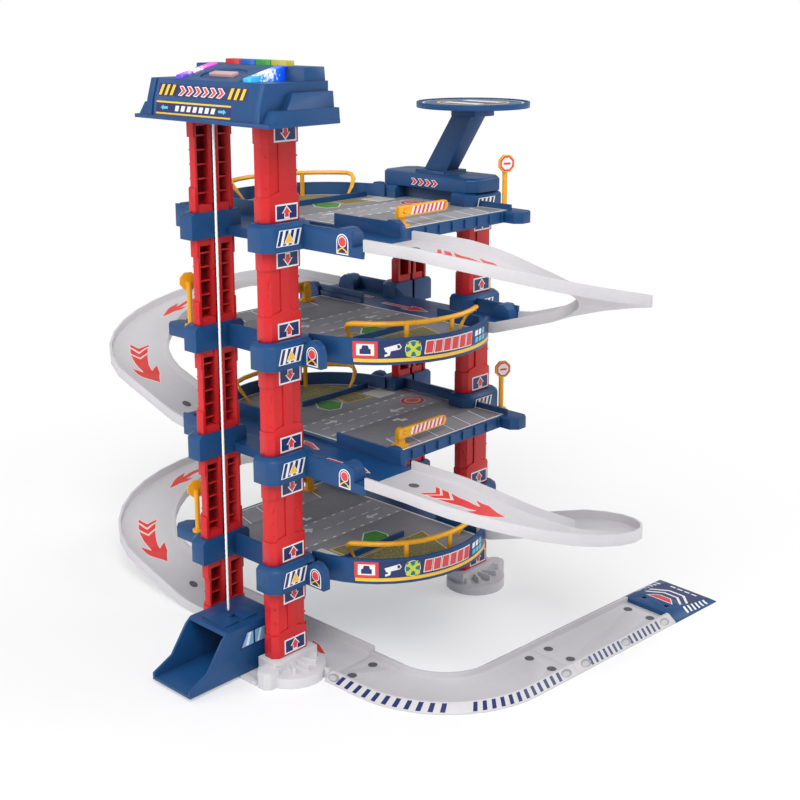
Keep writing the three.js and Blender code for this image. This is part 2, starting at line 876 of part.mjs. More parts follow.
function endRamp() {
  const from = ground.curveLead + ground.straight + 2 * seat;
  const flat = ground.endRamp - ground.endSlope;
  const slab = [
    [-half(track.width) - ground.flange, 0],
    [half(track.width) + ground.flange, 0],
    [half(track.width) + ground.flange, ground.foot],
    [half(track.width) - ground.flange, ground.endHeight],
    [ground.flange - half(track.width), ground.endHeight],
    [-half(track.width) - ground.flange, ground.foot],
  ];
  const lip = [
    [-half(track.width) - ground.flange, 0],
    [half(track.width) + ground.flange, 0],
    [half(track.width) + ground.flange, half(ground.foot)],
    [half(track.width) - ground.flange, half(ground.foot) + seat],
    [ground.flange - half(track.width), half(ground.foot) + seat],
    [-half(track.width) - ground.flange, half(ground.foot)],
  ];
  const deckPart = sweep(slab, [alongExit(from), alongExit(from + flat)]);
  const slope = taper(slab, alongExit(from + flat - join), lip, alongExit(from + ground.endRamp));
  return cut(joined(deckPart, slope), pegHoles(alongExit(from), [half(ground.holeSpread)]));
}

place('track_curve', groundCurve(), grey());
place('track_straight', groundStraight(), grey());
place('track_end_ramp', endRamp(), blue());

// Deck fittings, each set on an even deck and turned with an odd one
const onDeck = deck.floorTop + seat;

function signBody() {
  const plate = arc(0, sign.height, sign.radius, half(octant), 2 * Math.PI - half(octant), octant);
  return joined(
    round(0, 0, sign.base, 0, sign.thickness, sides.wheel),
    round(0, 0, sign.post, half(sign.thickness), sign.height, sides.peg),
    alongY(plate, -sign.post - half(sign.thickness), half(sign.thickness) - sign.post),
  );
}

function gatePost() {
  const post = [
    [-half(gate.postWidth), 0],
    [half(gate.postWidth), 0],
    ...arc(0, gate.pivot - deck.floorTop, half(gate.postWidth), 0, Math.PI, archStep),
  ];
  const pin = circle(0, gate.pivot - deck.floorTop, gate.pin, sides.pin);
  return joined(
    alongY(post, -half(gate.postDepth), half(gate.postDepth)),
    box([-gate.base, gate.base], [-gate.base, gate.base], [0, gate.baseHeight]),
    alongY(pin, -half(gate.postDepth) - gate.pinReach, 0),
  );
}

// The arm lies along +X from its pivot, which is its own origin
function gateArm() {
  const low = -half(gate.armHeight);
  const tip = gate.armLength - half(gate.armHeight);
  const outline = [
    [-gate.tail, low],
    ...arc(tip, 0, half(gate.armHeight), -Math.PI / 2, Math.PI / 2, archStep),
    [-gate.tail, -low],
  ];
  const back = -half(gate.postDepth) - seat;
  const front = back - gate.armDepth;
  const hole = alongY(circle(0, 0, gate.pin + seat, sides.pin), front - overrun, back + overrun);
  return cut(alongY(outline, front, back), hole);
}

// Rail along the round side: a tube whose ends curl inwards and come down to the floor
function railBody() {
  const radius = bulge.radius - rail.inset;
  const drop = rail.height - rail.tube;
  const stations = [];
  const curl = (centreAngle, direction) => {
    const cx = bulge.x + (radius - rail.curl) * Math.cos(centreAngle);
    const cy = bulge.y + (radius - rail.curl) * Math.sin(centreAngle);
    const points = [];
    for (let i = 1; i <= rail.curlSteps; i += 1) {
      const swept = (direction * rail.curlAngle * i) / rail.curlSteps;
      points.push({
        x: cx + rail.curl * Math.cos(centreAngle + swept),
        y: cy + rail.curl * Math.sin(centreAngle + swept),
        z: drop * (1 - (i / rail.curlSteps) ** 2),
        heading: centreAngle + swept + Math.PI / 2,
      });
    }
    return points;
  };
  const steps = Math.ceil((rail.to - rail.from) / arcStep);
  stations.push(...curl(rail.from, -1).reverse());
  for (let i = 0; i <= steps; i += 1) {
    const angle = rail.from + ((rail.to - rail.from) * i) / steps;
    stations.push({
      x: bulge.x + radius * Math.cos(angle),
      y: bulge.y + radius * Math.sin(angle),
      z: drop,
      heading: angle + Math.PI / 2,
    });
  }
  stations.push(...curl(rail.to, 1));
  const tube = circle(0, half(rail.tube), half(rail.tube), sides.tube);
  const posts = [];
  for (let i = 1; i <= rail.posts; i += 1) {
    const angle = rail.from + ((rail.to - rail.from) * i) / (rail.posts + 1);
    const x = bulge.x + radius * Math.cos(angle);
    const y = bulge.y + radius * Math.sin(angle);
    posts.push(round(x, y, half(rail.tube), 0, drop + half(rail.tube), sides.tube));
  }
  return joined(sweep(tube, stations), posts);
}

const turned = (level, x, y) => (isTurned(level) ? { x: bayLength - x, y: bayWidth - y } : { x, y });
const halfTurn = (level) => (isTurned(level) ? Math.PI : 0);

for (let level = 1; level <= levelCount; level += 1) {
  const z = levelZ(level) + onDeck;
  const turn = halfTurn(level);
  const signPlace = turned(level, deckEnd + sign.beyond, sign.y);
  const gatePlace = turned(level, laneRight + gate.aside, gate.y);
  place(`sign_${level}`, signBody(), yellow(), { ...signPlace, z, turn: turn - sign.lean });
  place(`gate_post_${level}`, gatePost(), yellow(), { ...gatePlace, z, turn });
  place(`gate_arm_${level}`, gateArm(), yellow(), {
    ...gatePlace,
    z: z + gate.pivot - deck.floorTop,
    turn,
  });
  place(`guard_rail_${level}`, railBody(), yellow(), {
    ...turned(level, 0, 0),
    z,
    turn,
  });
}

// Lift cab, open in front and behind, with a guide fin in each front column's groove
const cabBottom = foot.plate + seat;
const cabSide = half(cab.width);

function cabShell() {
  const profile = [
    [cab.front, 0],
    [cab.back, 0],
    [cab.back, cab.height],
    [cab.roofFront, cab.height],
    [cab.browFront, cab.height - cab.brow],
    [cab.cheekFront, cab.cheekHeight],
    [cab.front, cab.lip],
  ];
  const bay = box(
    [cab.front - overrun, cab.back + overrun],
    [cab.wall - cabSide, cabSide - cab.wall],
    [cab.floor, cab.height - cab.wall],
  );
  const shell = cut(alongY(profile, -cabSide, cabSide), bay);
  const guideTop = cab.height - cab.brow;
  const guideLow = foot.top + seat + overrun - cabBottom;
  const reach = half(bayWidth) - shaftFace - collar.shaft - overrun;
  const finReach = half(bayWidth) - shaftFace + cab.finEngage;
  const guides = [-1, 1].flatMap((side) => {
    const span = (from, to) => [side * from, side * to].sort((a, b) => a - b);
    return [
      box([-half(cab.guideWidth), half(cab.guideWidth)], span(cabSide - join, reach), [guideLow, guideTop]),
      box([-half(cab.fin), half(cab.fin)], span(reach - join, finReach), [guideLow, guideTop]),
    ];
  });
  const panels = [0, 1].map((i) => {
    const from = cab.roofFront + cab.panelInset + i * (cab.panelLength + cab.panelInset);
    return box([from, from + cab.panelLength], [-half(cab.panelWidth), half(cab.panelWidth)], [
      cab.height - join,
      cab.height + cab.panelRise,
    ]);
  });
  const eye = round(stringX, 0, cab.eye, cab.height - join, cab.height + cab.eyeRise, sides.wheel);
  return joined(shell, guides, panels, eye);
}

place('lift_cab', cabShell(), blue(), { y: deckMiddle.y, z: cabBottom });
const stringEnd = cabBottom + cab.height + cab.eyeRise + seat;
const string = round(0, 0, winch.string, 0, drumZ - stringEnd, sides.peg);
place('lift_string', string, paint(0xf2f2f2, 0.7), { x: stringX, y: deckMiddle.y, z: stringEnd });

// Roof: a cover with stepped sides, a leaning front and a saddle that rises to the rear, closed from
// below by a plate
const roofSide = half(bayWidth) + shaftFace + roof.aside;
const roofBody = roofSide - 2 * roof.step;
const roofInner = {
  front: roof.front + roof.wall + roof.draft,
  back: roof.back - roof.wall,
  side: roofBody - roof.wall,
  top: roof.height - roof.wall,
};
const saddleFront = roof.front + roof.slope;
const saddleRise = (roof.top - roof.height) / (roof.rearFrom - saddleFront);
const saddleZ = (x) => roof.height + saddleRise * (x - saddleFront);

function roofCover() {
  const profile = (proud) => [
    [roof.front - proud, 0],
    [roof.back, 0],
    [roof.back, roof.height],
    [saddleFront - proud, roof.height],
    [roof.front + roof.browSlope - proud, roof.brow],
  ];
  const steps = [0, 1].map((index) => {
    const side = roofSide - index * roof.step;
    const front = roof.front + index * roof.stepBack;
    const bottom = index * roof.stepHeight;
    return loft(
      rectangle([front, roof.back], mirrored(side)),
      bottom,
      rectangle([front + roof.slope, roof.back], mirrored(side - roof.draft)),
      bottom + roof.stepHeight,
    );
  });
  const frames = [-roofBody, roofBody - roof.frame].map((y) =>
    alongY(profile(roof.frameProud), y, y + roof.frame),
  );
  const saddle = [
    [saddleFront, roof.height - join],
    [roof.back, roof.height - join],
    [roof.back, roof.top],
    [roof.rearFrom, roof.top],
    [saddleFront, roof.height],
  ];
  const rearSide = roofBody - roof.rearInset;
  const rear = loft(
    rectangle([roof.rearFrom, roof.back], mirrored(rearSide)),
    roof.height - join,
    rectangle([roof.rearFrom + roof.draft, roof.back], mirrored(rearSide - roof.draft)),
    roof.top,
  );
  const housing = joined(
    alongY(profile(0), -roofBody, roofBody),
    upright(rectangle([roof.front - roof.lip, roof.back], mirrored(roofSide)), 0, roof.lip),
    steps,
    frames,
    alongY(saddle, -roof.saddle, roof.saddle),
    rear,
  );
  const cavity = [
    [roofInner.front, -overrun],
    [roofInner.back, -overrun],
    [roofInner.back, roofInner.top],
    [saddleFront + roof.wall, roofInner.top],
    [roofInner.front, roof.brow],
  ];
  const rearCavity = box(
    [roof.rearFrom + roof.wall, roofInner.back],
    mirrored(rearSide - roof.draft - roof.wall),
    [roofInner.top - overrun, roof.top - roof.wall],
  );
  const buttonRow = half((buttonPlaces.length - 1) * button.pitch + button.length) + seat;
  const well = box(
    [button.x - half(button.width) - seat, button.x + half(button.width) + seat],
    mirrored(buttonRow),
    [roof.top - roof.wall - overrun, roof.top + overrun],
  );
  const windows = [1, -1].map((side) => {
    const y = [side * roof.saddle, side * (roof.saddle + lens.width + 2 * seat)].sort((a, b) => a - b);
    return box([lens.from - seat, roof.rearFrom], y, [roofInner.top - overrun, roof.top]);
  });
  const dishOutline = circle(0, 0, 1, sides.disc).map(([a, b]) => [
    roof.dishX + roof.dishWidth * a,
    roof.dishLength * b,
  ]);
  const dish = upright(dishOutline, 0, roof.top);
  const floor = [
    [saddleFront, -overrun],
    [roof.rearFrom, -overrun],
    [roof.rearFrom, saddleZ(roof.rearFrom) - roof.dishDepth],
    [saddleFront, saddleZ(saddleFront) - roof.dishDepth],
  ];
  const bowl = cut(dish, alongY(floor, -roof.saddle, roof.saddle));
  return cut(housing, alongY(cavity, -roofInner.side, roofInner.side), rearCavity, well, windows, bowl);
}

function roofPlate() {
  const outline = rectangle(
    [roofInner.front + seat, roofInner.back - seat],
    [seat - roofInner.side, roofInner.side - seat],
  );
  const drumCentre = drumZ - roofBottom;
  const bearing = (from, to) => [
    box([winch.x - winch.bearing, winch.x + winch.bearing], [from, to], [roof.plate - join, drumCentre]),
    alongY(circle(winch.x, drumCentre, winch.bearing, sides.wheel), from, to),
  ];
  const bearingTo = -half(winch.length) - winch.flange - seat;
  const bearingFrom = bearingTo - winch.bearingWidth;
  const cradle = [winch.motorFrom + overrun, winch.motorFrom + winch.motorLength - overrun];
  const body = joined(
    upright(outline, 0, roof.plate),
    bearing(bearingFrom, bearingTo),
    box([winch.x - winch.bearing, winch.x + winch.bearing], cradle, [
      roof.plate - join,
      drumCentre - winch.motorRadius + half(winch.cradle),
    ]),
  );
  const can = circle(winch.x, drumCentre, winch.motorRadius + seat, sides.can);
  const bore = circle(winch.x, drumCentre, winch.axle + seat, sides.pin);
  const necks = [1, -1].map((facing) =>
    upright(
      channelOutline(0, neckBack + seat).map(([a, b]) => [facing * a, facing * (b - half(bayWidth))]),
      -overrun,
      roof.plate + overrun,
    ),
  );
  return cut(
    body,
    alongY(can, cradle[0] - overrun, cradle[1] + overrun),
    alongY(bore, bearingFrom - overrun, bearingTo + overrun),
    necks,
    round(stringX, 0, winch.string + overrun, -overrun, roof.plate + overrun, sides.pin),
  );
}

function winchDrum() {
  const end = half(winch.length) + winch.flange;
  const profile = [
    [winch.axle + seat, -half(winch.length)],
    [winch.drum, -half(winch.length)],
    [winch.drum, half(winch.length)],
    [winch.axle + seat, half(winch.length)],
  ];
  const outline = [...profile, profile[0]].map(([r, y]) => new THREE.Vector2(r, y));
  const spool = solid(new THREE.LatheGeometry(outline, sides.wheel));
  const wheel = (radius, from, to) => alongY(circle(0, 0, radius, sides.wheel), from, to);
  const flange = (from) =>
    cut(
      wheel(winch.flangeRadius, from, from + winch.flange),
      wheel(winch.axle + seat, from - overrun, from + winch.flange + overrun),
    );
  const web = wheel(winch.axle + overrun, -end, overrun - half(winch.length));
  const stub = wheel(winch.axle, -end - seat - winch.bearingWidth, join - end);
  return joined(spool, flange(half(winch.length) - join), flange(join - end), web, stub);
}

function winchMotor() {
  const can = circle(0, 0, winch.motorRadius, sides.can);
  const shaft = circle(0, 0, winch.axle, sides.pin);
  return joined(
    alongY(can, winch.motorFrom, winch.motorFrom + winch.motorLength),
    alongY(shaft, overrun - half(winch.length) + winch.axle, winch.motorFrom + join),
  );
}

// Clear light insert: a bar on each side of the saddle, linked under the top
function lensBody() {
  const bottom = roofInner.top - seat - lens.flange;
  const to = roof.rearFrom - seat;
  const bar = [
    [lens.from, bottom],
    [to, bottom],
    [to, saddleZ(to) + lens.proud],
    [lens.from, saddleZ(lens.from) + lens.proud],
  ];
  const inner = roof.saddle + seat;
  const outer = inner + lens.width;
  return joined(
    alongY(bar, inner, outer),
    alongY(bar, -outer, -inner),
    box([to - lens.strip, to], mirrored(outer - join), [bottom, bottom + lens.flange]),
  );
}

function buttonBody() {
  const cap = (width) => rectangle(mirrored(half(width)), mirrored(half(button.length)));
  const flangeTop = -roof.wall - seat;
  return joined(
    upright(cap(button.width + 2 * button.flange), flangeTop - button.flange, flangeTop),
    upright(cap(button.width), flangeTop - join, button.height),
  );
}

place('roof_cover', roofCover(), blue(), { y: deckMiddle.y, z: roofBottom });
place('roof_plate', roofPlate(), blue(), { y: deckMiddle.y, z: roofBottom });
place('winch_drum', winchDrum(), paleGrey(), { x: winch.x, y: deckMiddle.y, z: drumZ });
place('winch_motor', winchMotor(), paint(0x9a9a9e, 0.4), { x: winch.x, y: deckMiddle.y, z: drumZ });
place('light_lens', lensBody(), paint(0xbfd4ff, 0.15), { y: deckMiddle.y, z: roofBottom });
buttonPlaces.forEach(({ name, y, color }) => {
  place(name, buttonBody(), paint(color, 0.3), {
    x: button.x,
    y: deckMiddle.y + y,
    z: roofBottom + roof.top,
  });
});

// Helipad: a bridge over the rear columns with a leaning strut, and the round deck on it
const bridgeBottom = levelZ(levelCount) + collar.height + seat;
const strutAt = (x, y, width, depth) =>
  rectangle([x - half(width), x + half(width)], [y - half(depth), y + half(depth)]);

function helipadBridge() {
  const sidesAt = (inset) => mirrored(half(pad.bridgeWidth) - inset);
  const endsAt = (inset) => mirrored(half(pad.bridgeLength) - inset);
  const slab = (inset) => chamfered(sidesAt(inset), endsAt(inset), pad.corner);
  const slabTop = pad.bridgeHeight;
  const low = slabTop + pad.step;
  const high = pad.rise - seat;
  const necks = [1, -1].map((facing) =>
    upright(
      channelOutline(0, neckBack + seat).map(([a, b]) => [facing * a, facing * (b - half(bayWidth))]),
      -overrun,
      column.neckEngage + 2 * seat,
    ),
  );
  return cut(
    joined(
      upright(slab(0), 0, slabTop - pad.edge),
      loft(slab(0), slabTop - pad.edge, slab(pad.edge), slabTop),
      upright(strutAt(0, 0, pad.footWidth, pad.footLength), slabTop - join, low),
      loft(
        strutAt(0, 0, pad.strutWidth, pad.strutDepth),
        low - join,
        strutAt(pad.leanX, pad.leanY, pad.strutWidth + pad.spread, pad.strutDepth - pad.spread),
        high,
      ),
    ),
    necks,
  );
}

function helipadDeck() {
  const floorTop = pad.deckHeight - half(pad.edge);
  return cut(
    round(0, 0, pad.radius, 0, pad.deckHeight, sides.pad),
    round(0, 0, pad.radius - pad.edge, floorTop, pad.deckHeight + overrun, sides.pad),
  );
}

place('helipad_bridge', helipadBridge(), blue(), { x: bayLength, y: deckMiddle.y, z: bridgeBottom });
place('helipad_deck', helipadDeck(), blue(), {
  x: bayLength + pad.leanX,
  y: deckMiddle.y + pad.leanY,
  z: bridgeBottom + pad.rise,
});

export default garage;
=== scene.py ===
# Toy parking garage with a lift: looks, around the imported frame. Metres, +Z up.
import math

import bmesh
import bpy
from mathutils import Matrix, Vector
from mathutils.bvhtree import BVHTree


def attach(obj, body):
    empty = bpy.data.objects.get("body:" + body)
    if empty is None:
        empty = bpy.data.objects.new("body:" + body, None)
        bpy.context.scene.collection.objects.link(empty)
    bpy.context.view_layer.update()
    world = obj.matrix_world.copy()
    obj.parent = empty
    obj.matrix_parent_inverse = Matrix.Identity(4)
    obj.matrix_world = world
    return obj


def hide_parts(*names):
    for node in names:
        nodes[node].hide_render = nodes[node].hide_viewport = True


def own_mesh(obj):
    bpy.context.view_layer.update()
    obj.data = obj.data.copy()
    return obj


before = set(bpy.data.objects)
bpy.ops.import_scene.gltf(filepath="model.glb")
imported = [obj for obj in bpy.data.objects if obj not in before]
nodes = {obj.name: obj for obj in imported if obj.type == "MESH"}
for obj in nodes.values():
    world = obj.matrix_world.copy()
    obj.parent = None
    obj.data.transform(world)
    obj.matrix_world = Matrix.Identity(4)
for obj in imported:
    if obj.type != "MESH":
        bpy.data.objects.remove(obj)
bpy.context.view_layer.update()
scene = bpy.context.scene

MM = 0.001

# Sizes of the source that the printed films and small pieces are placed by, in millimetres
LEVEL_PITCH = 95.0
FIRST_LEVEL = 80.0
BAY_LENGTH = 241.8
BAY_WIDTH = 85.5
ROOF_BOTTOM = 464.0
COLLAR_HEIGHT = 22.0
DRUM_Z = 481.0
LEVELS = (1, 2, 3, 4)


def level_z(level):
    """Underside of a deck."""
    return FIRST_LEVEL + (level - 1) * LEVEL_PITCH


# Camera at the photograph's angle
CAMERA_PLACE = (-0.6799, -0.7629, 0.5517)
CAMERA_TURN = 42.95
CAMERA_TILT = -12.82
CAMERA_LENS = 58.84
CAMERA_SHIFT = -0.12

camera_data = bpy.data.cameras.new("camera")
camera_data.lens = CAMERA_LENS
camera_data.sensor_width = 36
camera_data.shift_y = CAMERA_SHIFT
camera_data.clip_start = 0.01
camera_data.clip_end = 50
camera = bpy.data.objects.new("camera", camera_data)
scene.collection.objects.link(camera)
camera.location = CAMERA_PLACE
camera.rotation_euler = (math.radians(90 + CAMERA_TILT), 0, math.radians(CAMERA_TURN - 90))
scene.camera = camera
scene.view_settings.view_transform = "Standard"


# Colours are written as they look on a screen, 0 to 255
def linear(colour):
    """Screen colour to scene colour."""
    parts = [c / 255 for c in colour]
    return tuple(c / 12.92 if c <= 0.04045 else ((c + 0.055) / 1.055) ** 2.4 for c in parts)


class Nodes:
    """Builds one material's node tree."""

    def __init__(self, name):
        self.material = bpy.data.materials.new(name)
        self.material.use_nodes = True
        self.tree = self.material.node_tree
        self.shader = self.tree.nodes["Principled BSDF"]
        self.place = self.add("ShaderNodeTexCoord").outputs["Object"]

    def add(self, kind, **settings):
        node = self.tree.nodes.new(kind)
        for key, value in settings.items():
            setattr(node, key, value)
        return node

    def link(self, source, target):
        self.tree.links.new(source, target)

    def noise(self, scale, detail=3.0, stretch=(1, 1, 1)):
        """Noise of that many cells a metre."""
        mapping = self.add("ShaderNodeMapping")
        mapping.inputs["Scale"].default_value = stretch
        self.link(self.place, mapping.inputs["Vector"])
        texture = self.add("ShaderNodeTexNoise")
        texture.inputs["Scale"].default_value = scale
        texture.inputs["Detail"].default_value = detail
        self.link(mapping.outputs["Vector"], texture.inputs["Vector"])
        return texture.outputs["Fac"]

    def between(self, factor, low, high, source_low=0.3, source_high=0.7):
        """Maps a noise to the range low to high."""
        node = self.add("ShaderNodeMapRange")
        limits = {"From Min": source_low, "From Max": source_high, "To Min": low, "To Max": high}
        for key, value in limits.items():
            node.inputs[key].default_value = value
        self.link(factor, node.inputs["Value"])
        return node.outputs["Result"]

    def mix(self, factor, first, second):
        """Blend of two colours; each is a colour or an output."""
        node = self.add("ShaderNodeMix", data_type="RGBA")
        sockets = [s for s in node.inputs if s.type == "RGBA"]
        for socket, value in zip(sockets, (first, second)):
            if isinstance(value, bpy.types.NodeSocket):
                self.link(value, socket)
            else:
                socket.default_value = (*linear(value), 1)
        if isinstance(factor, bpy.types.NodeSocket):
            self.link(factor, node.inputs["Factor"])
        else:
            node.inputs["Factor"].default_value = factor
        return next(s for s in node.outputs if s.type == "RGBA")

    def bump(self, height, strength, distance):
        node = self.add("ShaderNodeBump")
        node.inputs["Strength"].default_value = strength
        node.inputs["Distance"].default_value = distance
        self.link(height, node.inputs["Height"])
        self.link(node.outputs["Normal"], self.shader.inputs["Normal"])


def scaled(colour, share):
    """Lighter or darker tone of a screen colour."""
    return tuple(min(255.0, c * share) for c in colour)


# Cells a metre of the noises that several materials share
CLOUD_CELLS = 16
SPECK_CELLS = 260
PATCH_CELLS = 45
GRAIN_CELLS = 1500

GRAIN_DEPTH = 0.00015
FILM_GRAIN_DEPTH = 0.0001
SPECK_SHARE = 0.25
# Painted shade in hollows: its darkest tone as a share of the colour, and the occlusion range over which it
# fades in
PAINTED_SHADE_SHARE = 0.55
PAINTED_SHADE_RANGE = (0.25, 0.75)
PLASTIC_SHINE = 0.36


def plastic(name, colour, rough=0.34, spread=0.05, grain=0.10, painted_shade_reach=0.0):
    """Moulded plastic: cloudy colour, satin patches, fine grain, and painted shade that darkens the colour
    deep inside hollows and creases.
    """
    n = Nodes(name)
    tones = (scaled(colour, 1 - spread), scaled(colour, 1 + spread))
    cloud = n.between(n.noise(CLOUD_CELLS), 0, 1)
    speck = n.between(n.noise(SPECK_CELLS, 2), 0, 1)
    base = n.mix(cloud, *tones)
    fine = n.mix(SPECK_SHARE, base, n.mix(speck, *tones))
    # Painted shade: ambient occlusion darkens the colour in hollows and creases, where shade falls
    if painted_shade_reach:
        hollow_shade = n.add("ShaderNodeAmbientOcclusion", only_local=True)
        hollow_shade.inputs["Distance"].default_value = painted_shade_reach
        fine = n.mix(n.between(hollow_shade.outputs["AO"], 0, 1, *PAINTED_SHADE_RANGE), scaled(colour, PAINTED_SHADE_SHARE), fine)
    n.link(fine, n.shader.inputs["Base Color"])
    n.link(n.between(n.noise(PATCH_CELLS), rough - 0.06, rough + 0.08), n.shader.inputs["Roughness"])
    n.bump(n.noise(GRAIN_CELLS, 2), grain, GRAIN_DEPTH)
    n.shader.inputs["Specular IOR Level"].default_value = PLASTIC_SHINE
    return n.material


# Light lens: two bars over lamps, blue on the right and violet to pink on the left
LENS_MIDDLE = 0.04275
LENS_RUN = (-0.028, 0.008)
LENS_LAMPS = ((-0.010, 0.00225, 0.5035), (-0.012, 0.08325, 0.503))
LENS_GLOW = 0.5
LAMP_RAGGED = 0.006
LAMP_CORE = 0.003
LAMP_REACH = 0.010


def lit_lens():
    """Lens that glows in a colour for each side and is white over its lamps."""
    n = Nodes("lit_lens")
    axes = n.add("ShaderNodeSeparateXYZ")
    n.link(n.place, axes.inputs[0])
    back = n.between(axes.outputs["X"], 0, 1, *LENS_RUN)
    left = n.between(axes.outputs["Y"], 0, 1, LENS_MIDDLE - MM, LENS_MIDDLE + MM)
    right_glow = n.mix(back, (52, 168, 250), (6, 52, 214))
    left_glow = n.mix(back, (104, 62, 236), (240, 74, 204))
    glow = n.mix(left, right_glow, left_glow)
    sparkle = n.between(n.noise(420, 4), -LAMP_RAGGED, LAMP_RAGGED)
    for lamp_place in LENS_LAMPS:
        distance = n.add("ShaderNodeVectorMath", operation="DISTANCE")
        n.link(n.place, distance.inputs[0])
        distance.inputs[1].default_value = lamp_place
        ragged = n.add("ShaderNodeMath", operation="ADD")
        n.link(distance.outputs["Value"], ragged.inputs[0])
        n.link(sparkle, ragged.inputs[1])
        glow = n.mix(n.between(ragged.outputs[0], 1, 0, LAMP_CORE, LAMP_REACH), glow, (250, 252, 255))
    n.link(glow, n.shader.inputs["Base Color"])
    n.link(glow, n.shader.inputs["Emission Color"])
    n.shader.inputs["Emission Strength"].default_value = LENS_GLOW
    n.link(n.between(n.noise(PATCH_CELLS), 0.08, 0.18), n.shader.inputs["Roughness"])
    n.bump(n.noise(900, 2), 0.05, FILM_GRAIN_DEPTH)
    return n.material


MATERIALS = {
    # Blue and red darken in their hollows and creases with painted shade, whose reach is given in metres
    "blue": plastic("blue_plastic", (24, 72, 122), 0.38, painted_shade_reach=0.03),
    "red": plastic("red_plastic", (204, 34, 38), 0.32, painted_shade_reach=0.012),
    "grey": plastic("grey_plastic", (204, 202, 205), 0.38, 0.02),
    "pale": plastic("pale_plastic", (211, 210, 213), 0.38, 0.02),
    "yellow": plastic("yellow_plastic", (244, 174, 38), 0.30),
    "button_red": plastic("red_button", (214, 47, 54), 0.25),
    "button_blue": plastic("blue_button", (21, 96, 192), 0.25),
    "button_green": plastic("green_button", (46, 155, 60), 0.25),
    "button_yellow": plastic("yellow_button", (196, 188, 70), 0.25),
    "drum": plastic("drum_plastic", (216, 216, 218), 0.45, 0.02),
    "motor": plastic("motor_can", (150, 150, 156), 0.3, 0.04),
    "string": plastic("string_thread", (240, 240, 238), 0.8, 0.03, 0.6),
    "badge": plastic("badge_metal", (204, 168, 166), 0.28, 0.06),
    "lens": lit_lens(),
}

NODE_MATERIALS = (
    ("column_", "red"),
    ("deck_", "blue"),
    ("lift_cab", "blue"),
    ("roof_", "blue"),
    ("helipad_", "blue"),
    ("track_end_ramp", "blue"),
    ("base_", "pale"),
    ("ramp_", "grey"),
    ("track_", "grey"),
    ("sign_", "yellow"),
    ("gate_", "yellow"),
    ("guard_rail_", "yellow"),
    ("winch_drum", "drum"),
    ("winch_motor", "motor"),
    ("lift_string", "string"),
    ("light_lens", "lens"),
    ("button_red", "button_red"),
    ("button_blue", "button_blue"),
    ("button_green", "button_green"),
    ("button_yellow", "button_yellow"),
)


SHARP_ANGLE = math.radians(30)
BEVEL_ANGLE = math.radians(35)
WELD_REACH = 0.00001


def soft_shading():
    """Geometry nodes that shade faces smoothly but keep edges sharper than the limit."""
    group = bpy.data.node_groups.new("soft_shading", "GeometryNodeTree")
    group.interface.new_socket("Geometry", in_out="INPUT", socket_type="NodeSocketGeometry")
    group.interface.new_socket("Geometry", in_out="OUTPUT", socket_type="NodeSocketGeometry")
    start = group.nodes.new("NodeGroupInput")
    end = group.nodes.new("NodeGroupOutput")
    faces = group.nodes.new("GeometryNodeSetShadeSmooth")
    faces.domain = "FACE"
    edges = group.nodes.new("GeometryNodeSetShadeSmooth")
    edges.domain = "EDGE"
    edges.inputs["Shade Smooth"].default_value = False
    angle = group.nodes.new("GeometryNodeInputMeshEdgeAngle")
    sharp = group.nodes.new("FunctionNodeCompare")
    sharp.data_type = "FLOAT"
    sharp.operation = "GREATER_THAN"
    sharp.inputs[1].default_value = SHARP_ANGLE
    link = group.links.new
    link(start.outputs[0], faces.inputs["Geometry"])
    link(faces.outputs[0], edges.inputs["Geometry"])
    link(angle.outputs["Unsigned Angle"], sharp.inputs[0])
    link(sharp.outputs[0], edges.inputs["Selection"])
    link(edges.outputs[0], end.inputs[0])
    return group


SHADING = soft_shading()


def dress(obj, width, segments=2):
    """Rounded edges and smooth shading on top of an unchanged mesh."""
    weld = obj.modifiers.new("weld", "WELD")
    weld.merge_threshold = WELD_REACH
    edge = obj.modifiers.new("edge", "BEVEL")
    edge.width = width * MM
    edge.segments = segments
    edge.limit_method = "ANGLE"
    edge.angle_limit = BEVEL_ANGLE
    shade = obj.modifiers.new("shade", "NODES")
    shade.node_group = SHADING


# Rounding of the edges in millimetres
EDGE_WIDTHS = (
    ("column_", 0.5),
    ("deck_", 0.6),
    ("ramp_", 0.5),
    ("button_", 0.8),
    ("roof_cover", 1.0),
    ("helipad_", 0.7),
)
OTHER_EDGE_WIDTH = 0.4

for name, obj in nodes.items():
    key = next(k for prefix, k in NODE_MATERIALS if name.startswith(prefix))
    obj.data.materials.clear()
    obj.data.materials.append(MATERIALS[key])
    width = next((w for prefix, w in EDGE_WIDTHS if name.startswith(prefix)), OTHER_EDGE_WIDTH)
    dress(obj, width)


# Printed films: thin closed sheets laid on a surface, the later ones a little higher
def ink(name, colour, rough=0.32, spread=0.02):
    """Printed film: nearly even colour, with faint print grain and a soft gloss."""
    n = Nodes("print_" + name)
    grain = n.between(n.noise(700, 2), 0, 1)
    tones = (scaled(colour, 1 - spread), scaled(colour, 1 + spread))
    n.link(n.mix(grain, *tones), n.shader.inputs["Base Color"])
    n.link(n.between(n.noise(60), rough - 0.05, rough + 0.08), n.shader.inputs["Roughness"])
    n.bump(n.noise(400, 2), 0.06, FILM_GRAIN_DEPTH)
    return n.material


def speckled(name, colour, other, share, size, rough=0.55):
    """Print of two colours in fine grains, such as asphalt or grass."""
    n = Nodes("print_" + name)
    grains = n.between(n.noise(size, 4), 0, 1, share - 0.06, share + 0.06)
    cloud = n.between(n.noise(28, 2), 0, 1)
    base = n.mix(grains, colour, other)
    n.link(n.mix(cloud, base, scaled(colour, 1.05)), n.shader.inputs["Base Color"])
    n.link(n.between(n.noise(80), rough - 0.06, rough + 0.1), n.shader.inputs["Roughness"])
    n.bump(n.noise(size, 3), 0.1, FILM_GRAIN_DEPTH)
    return n.material


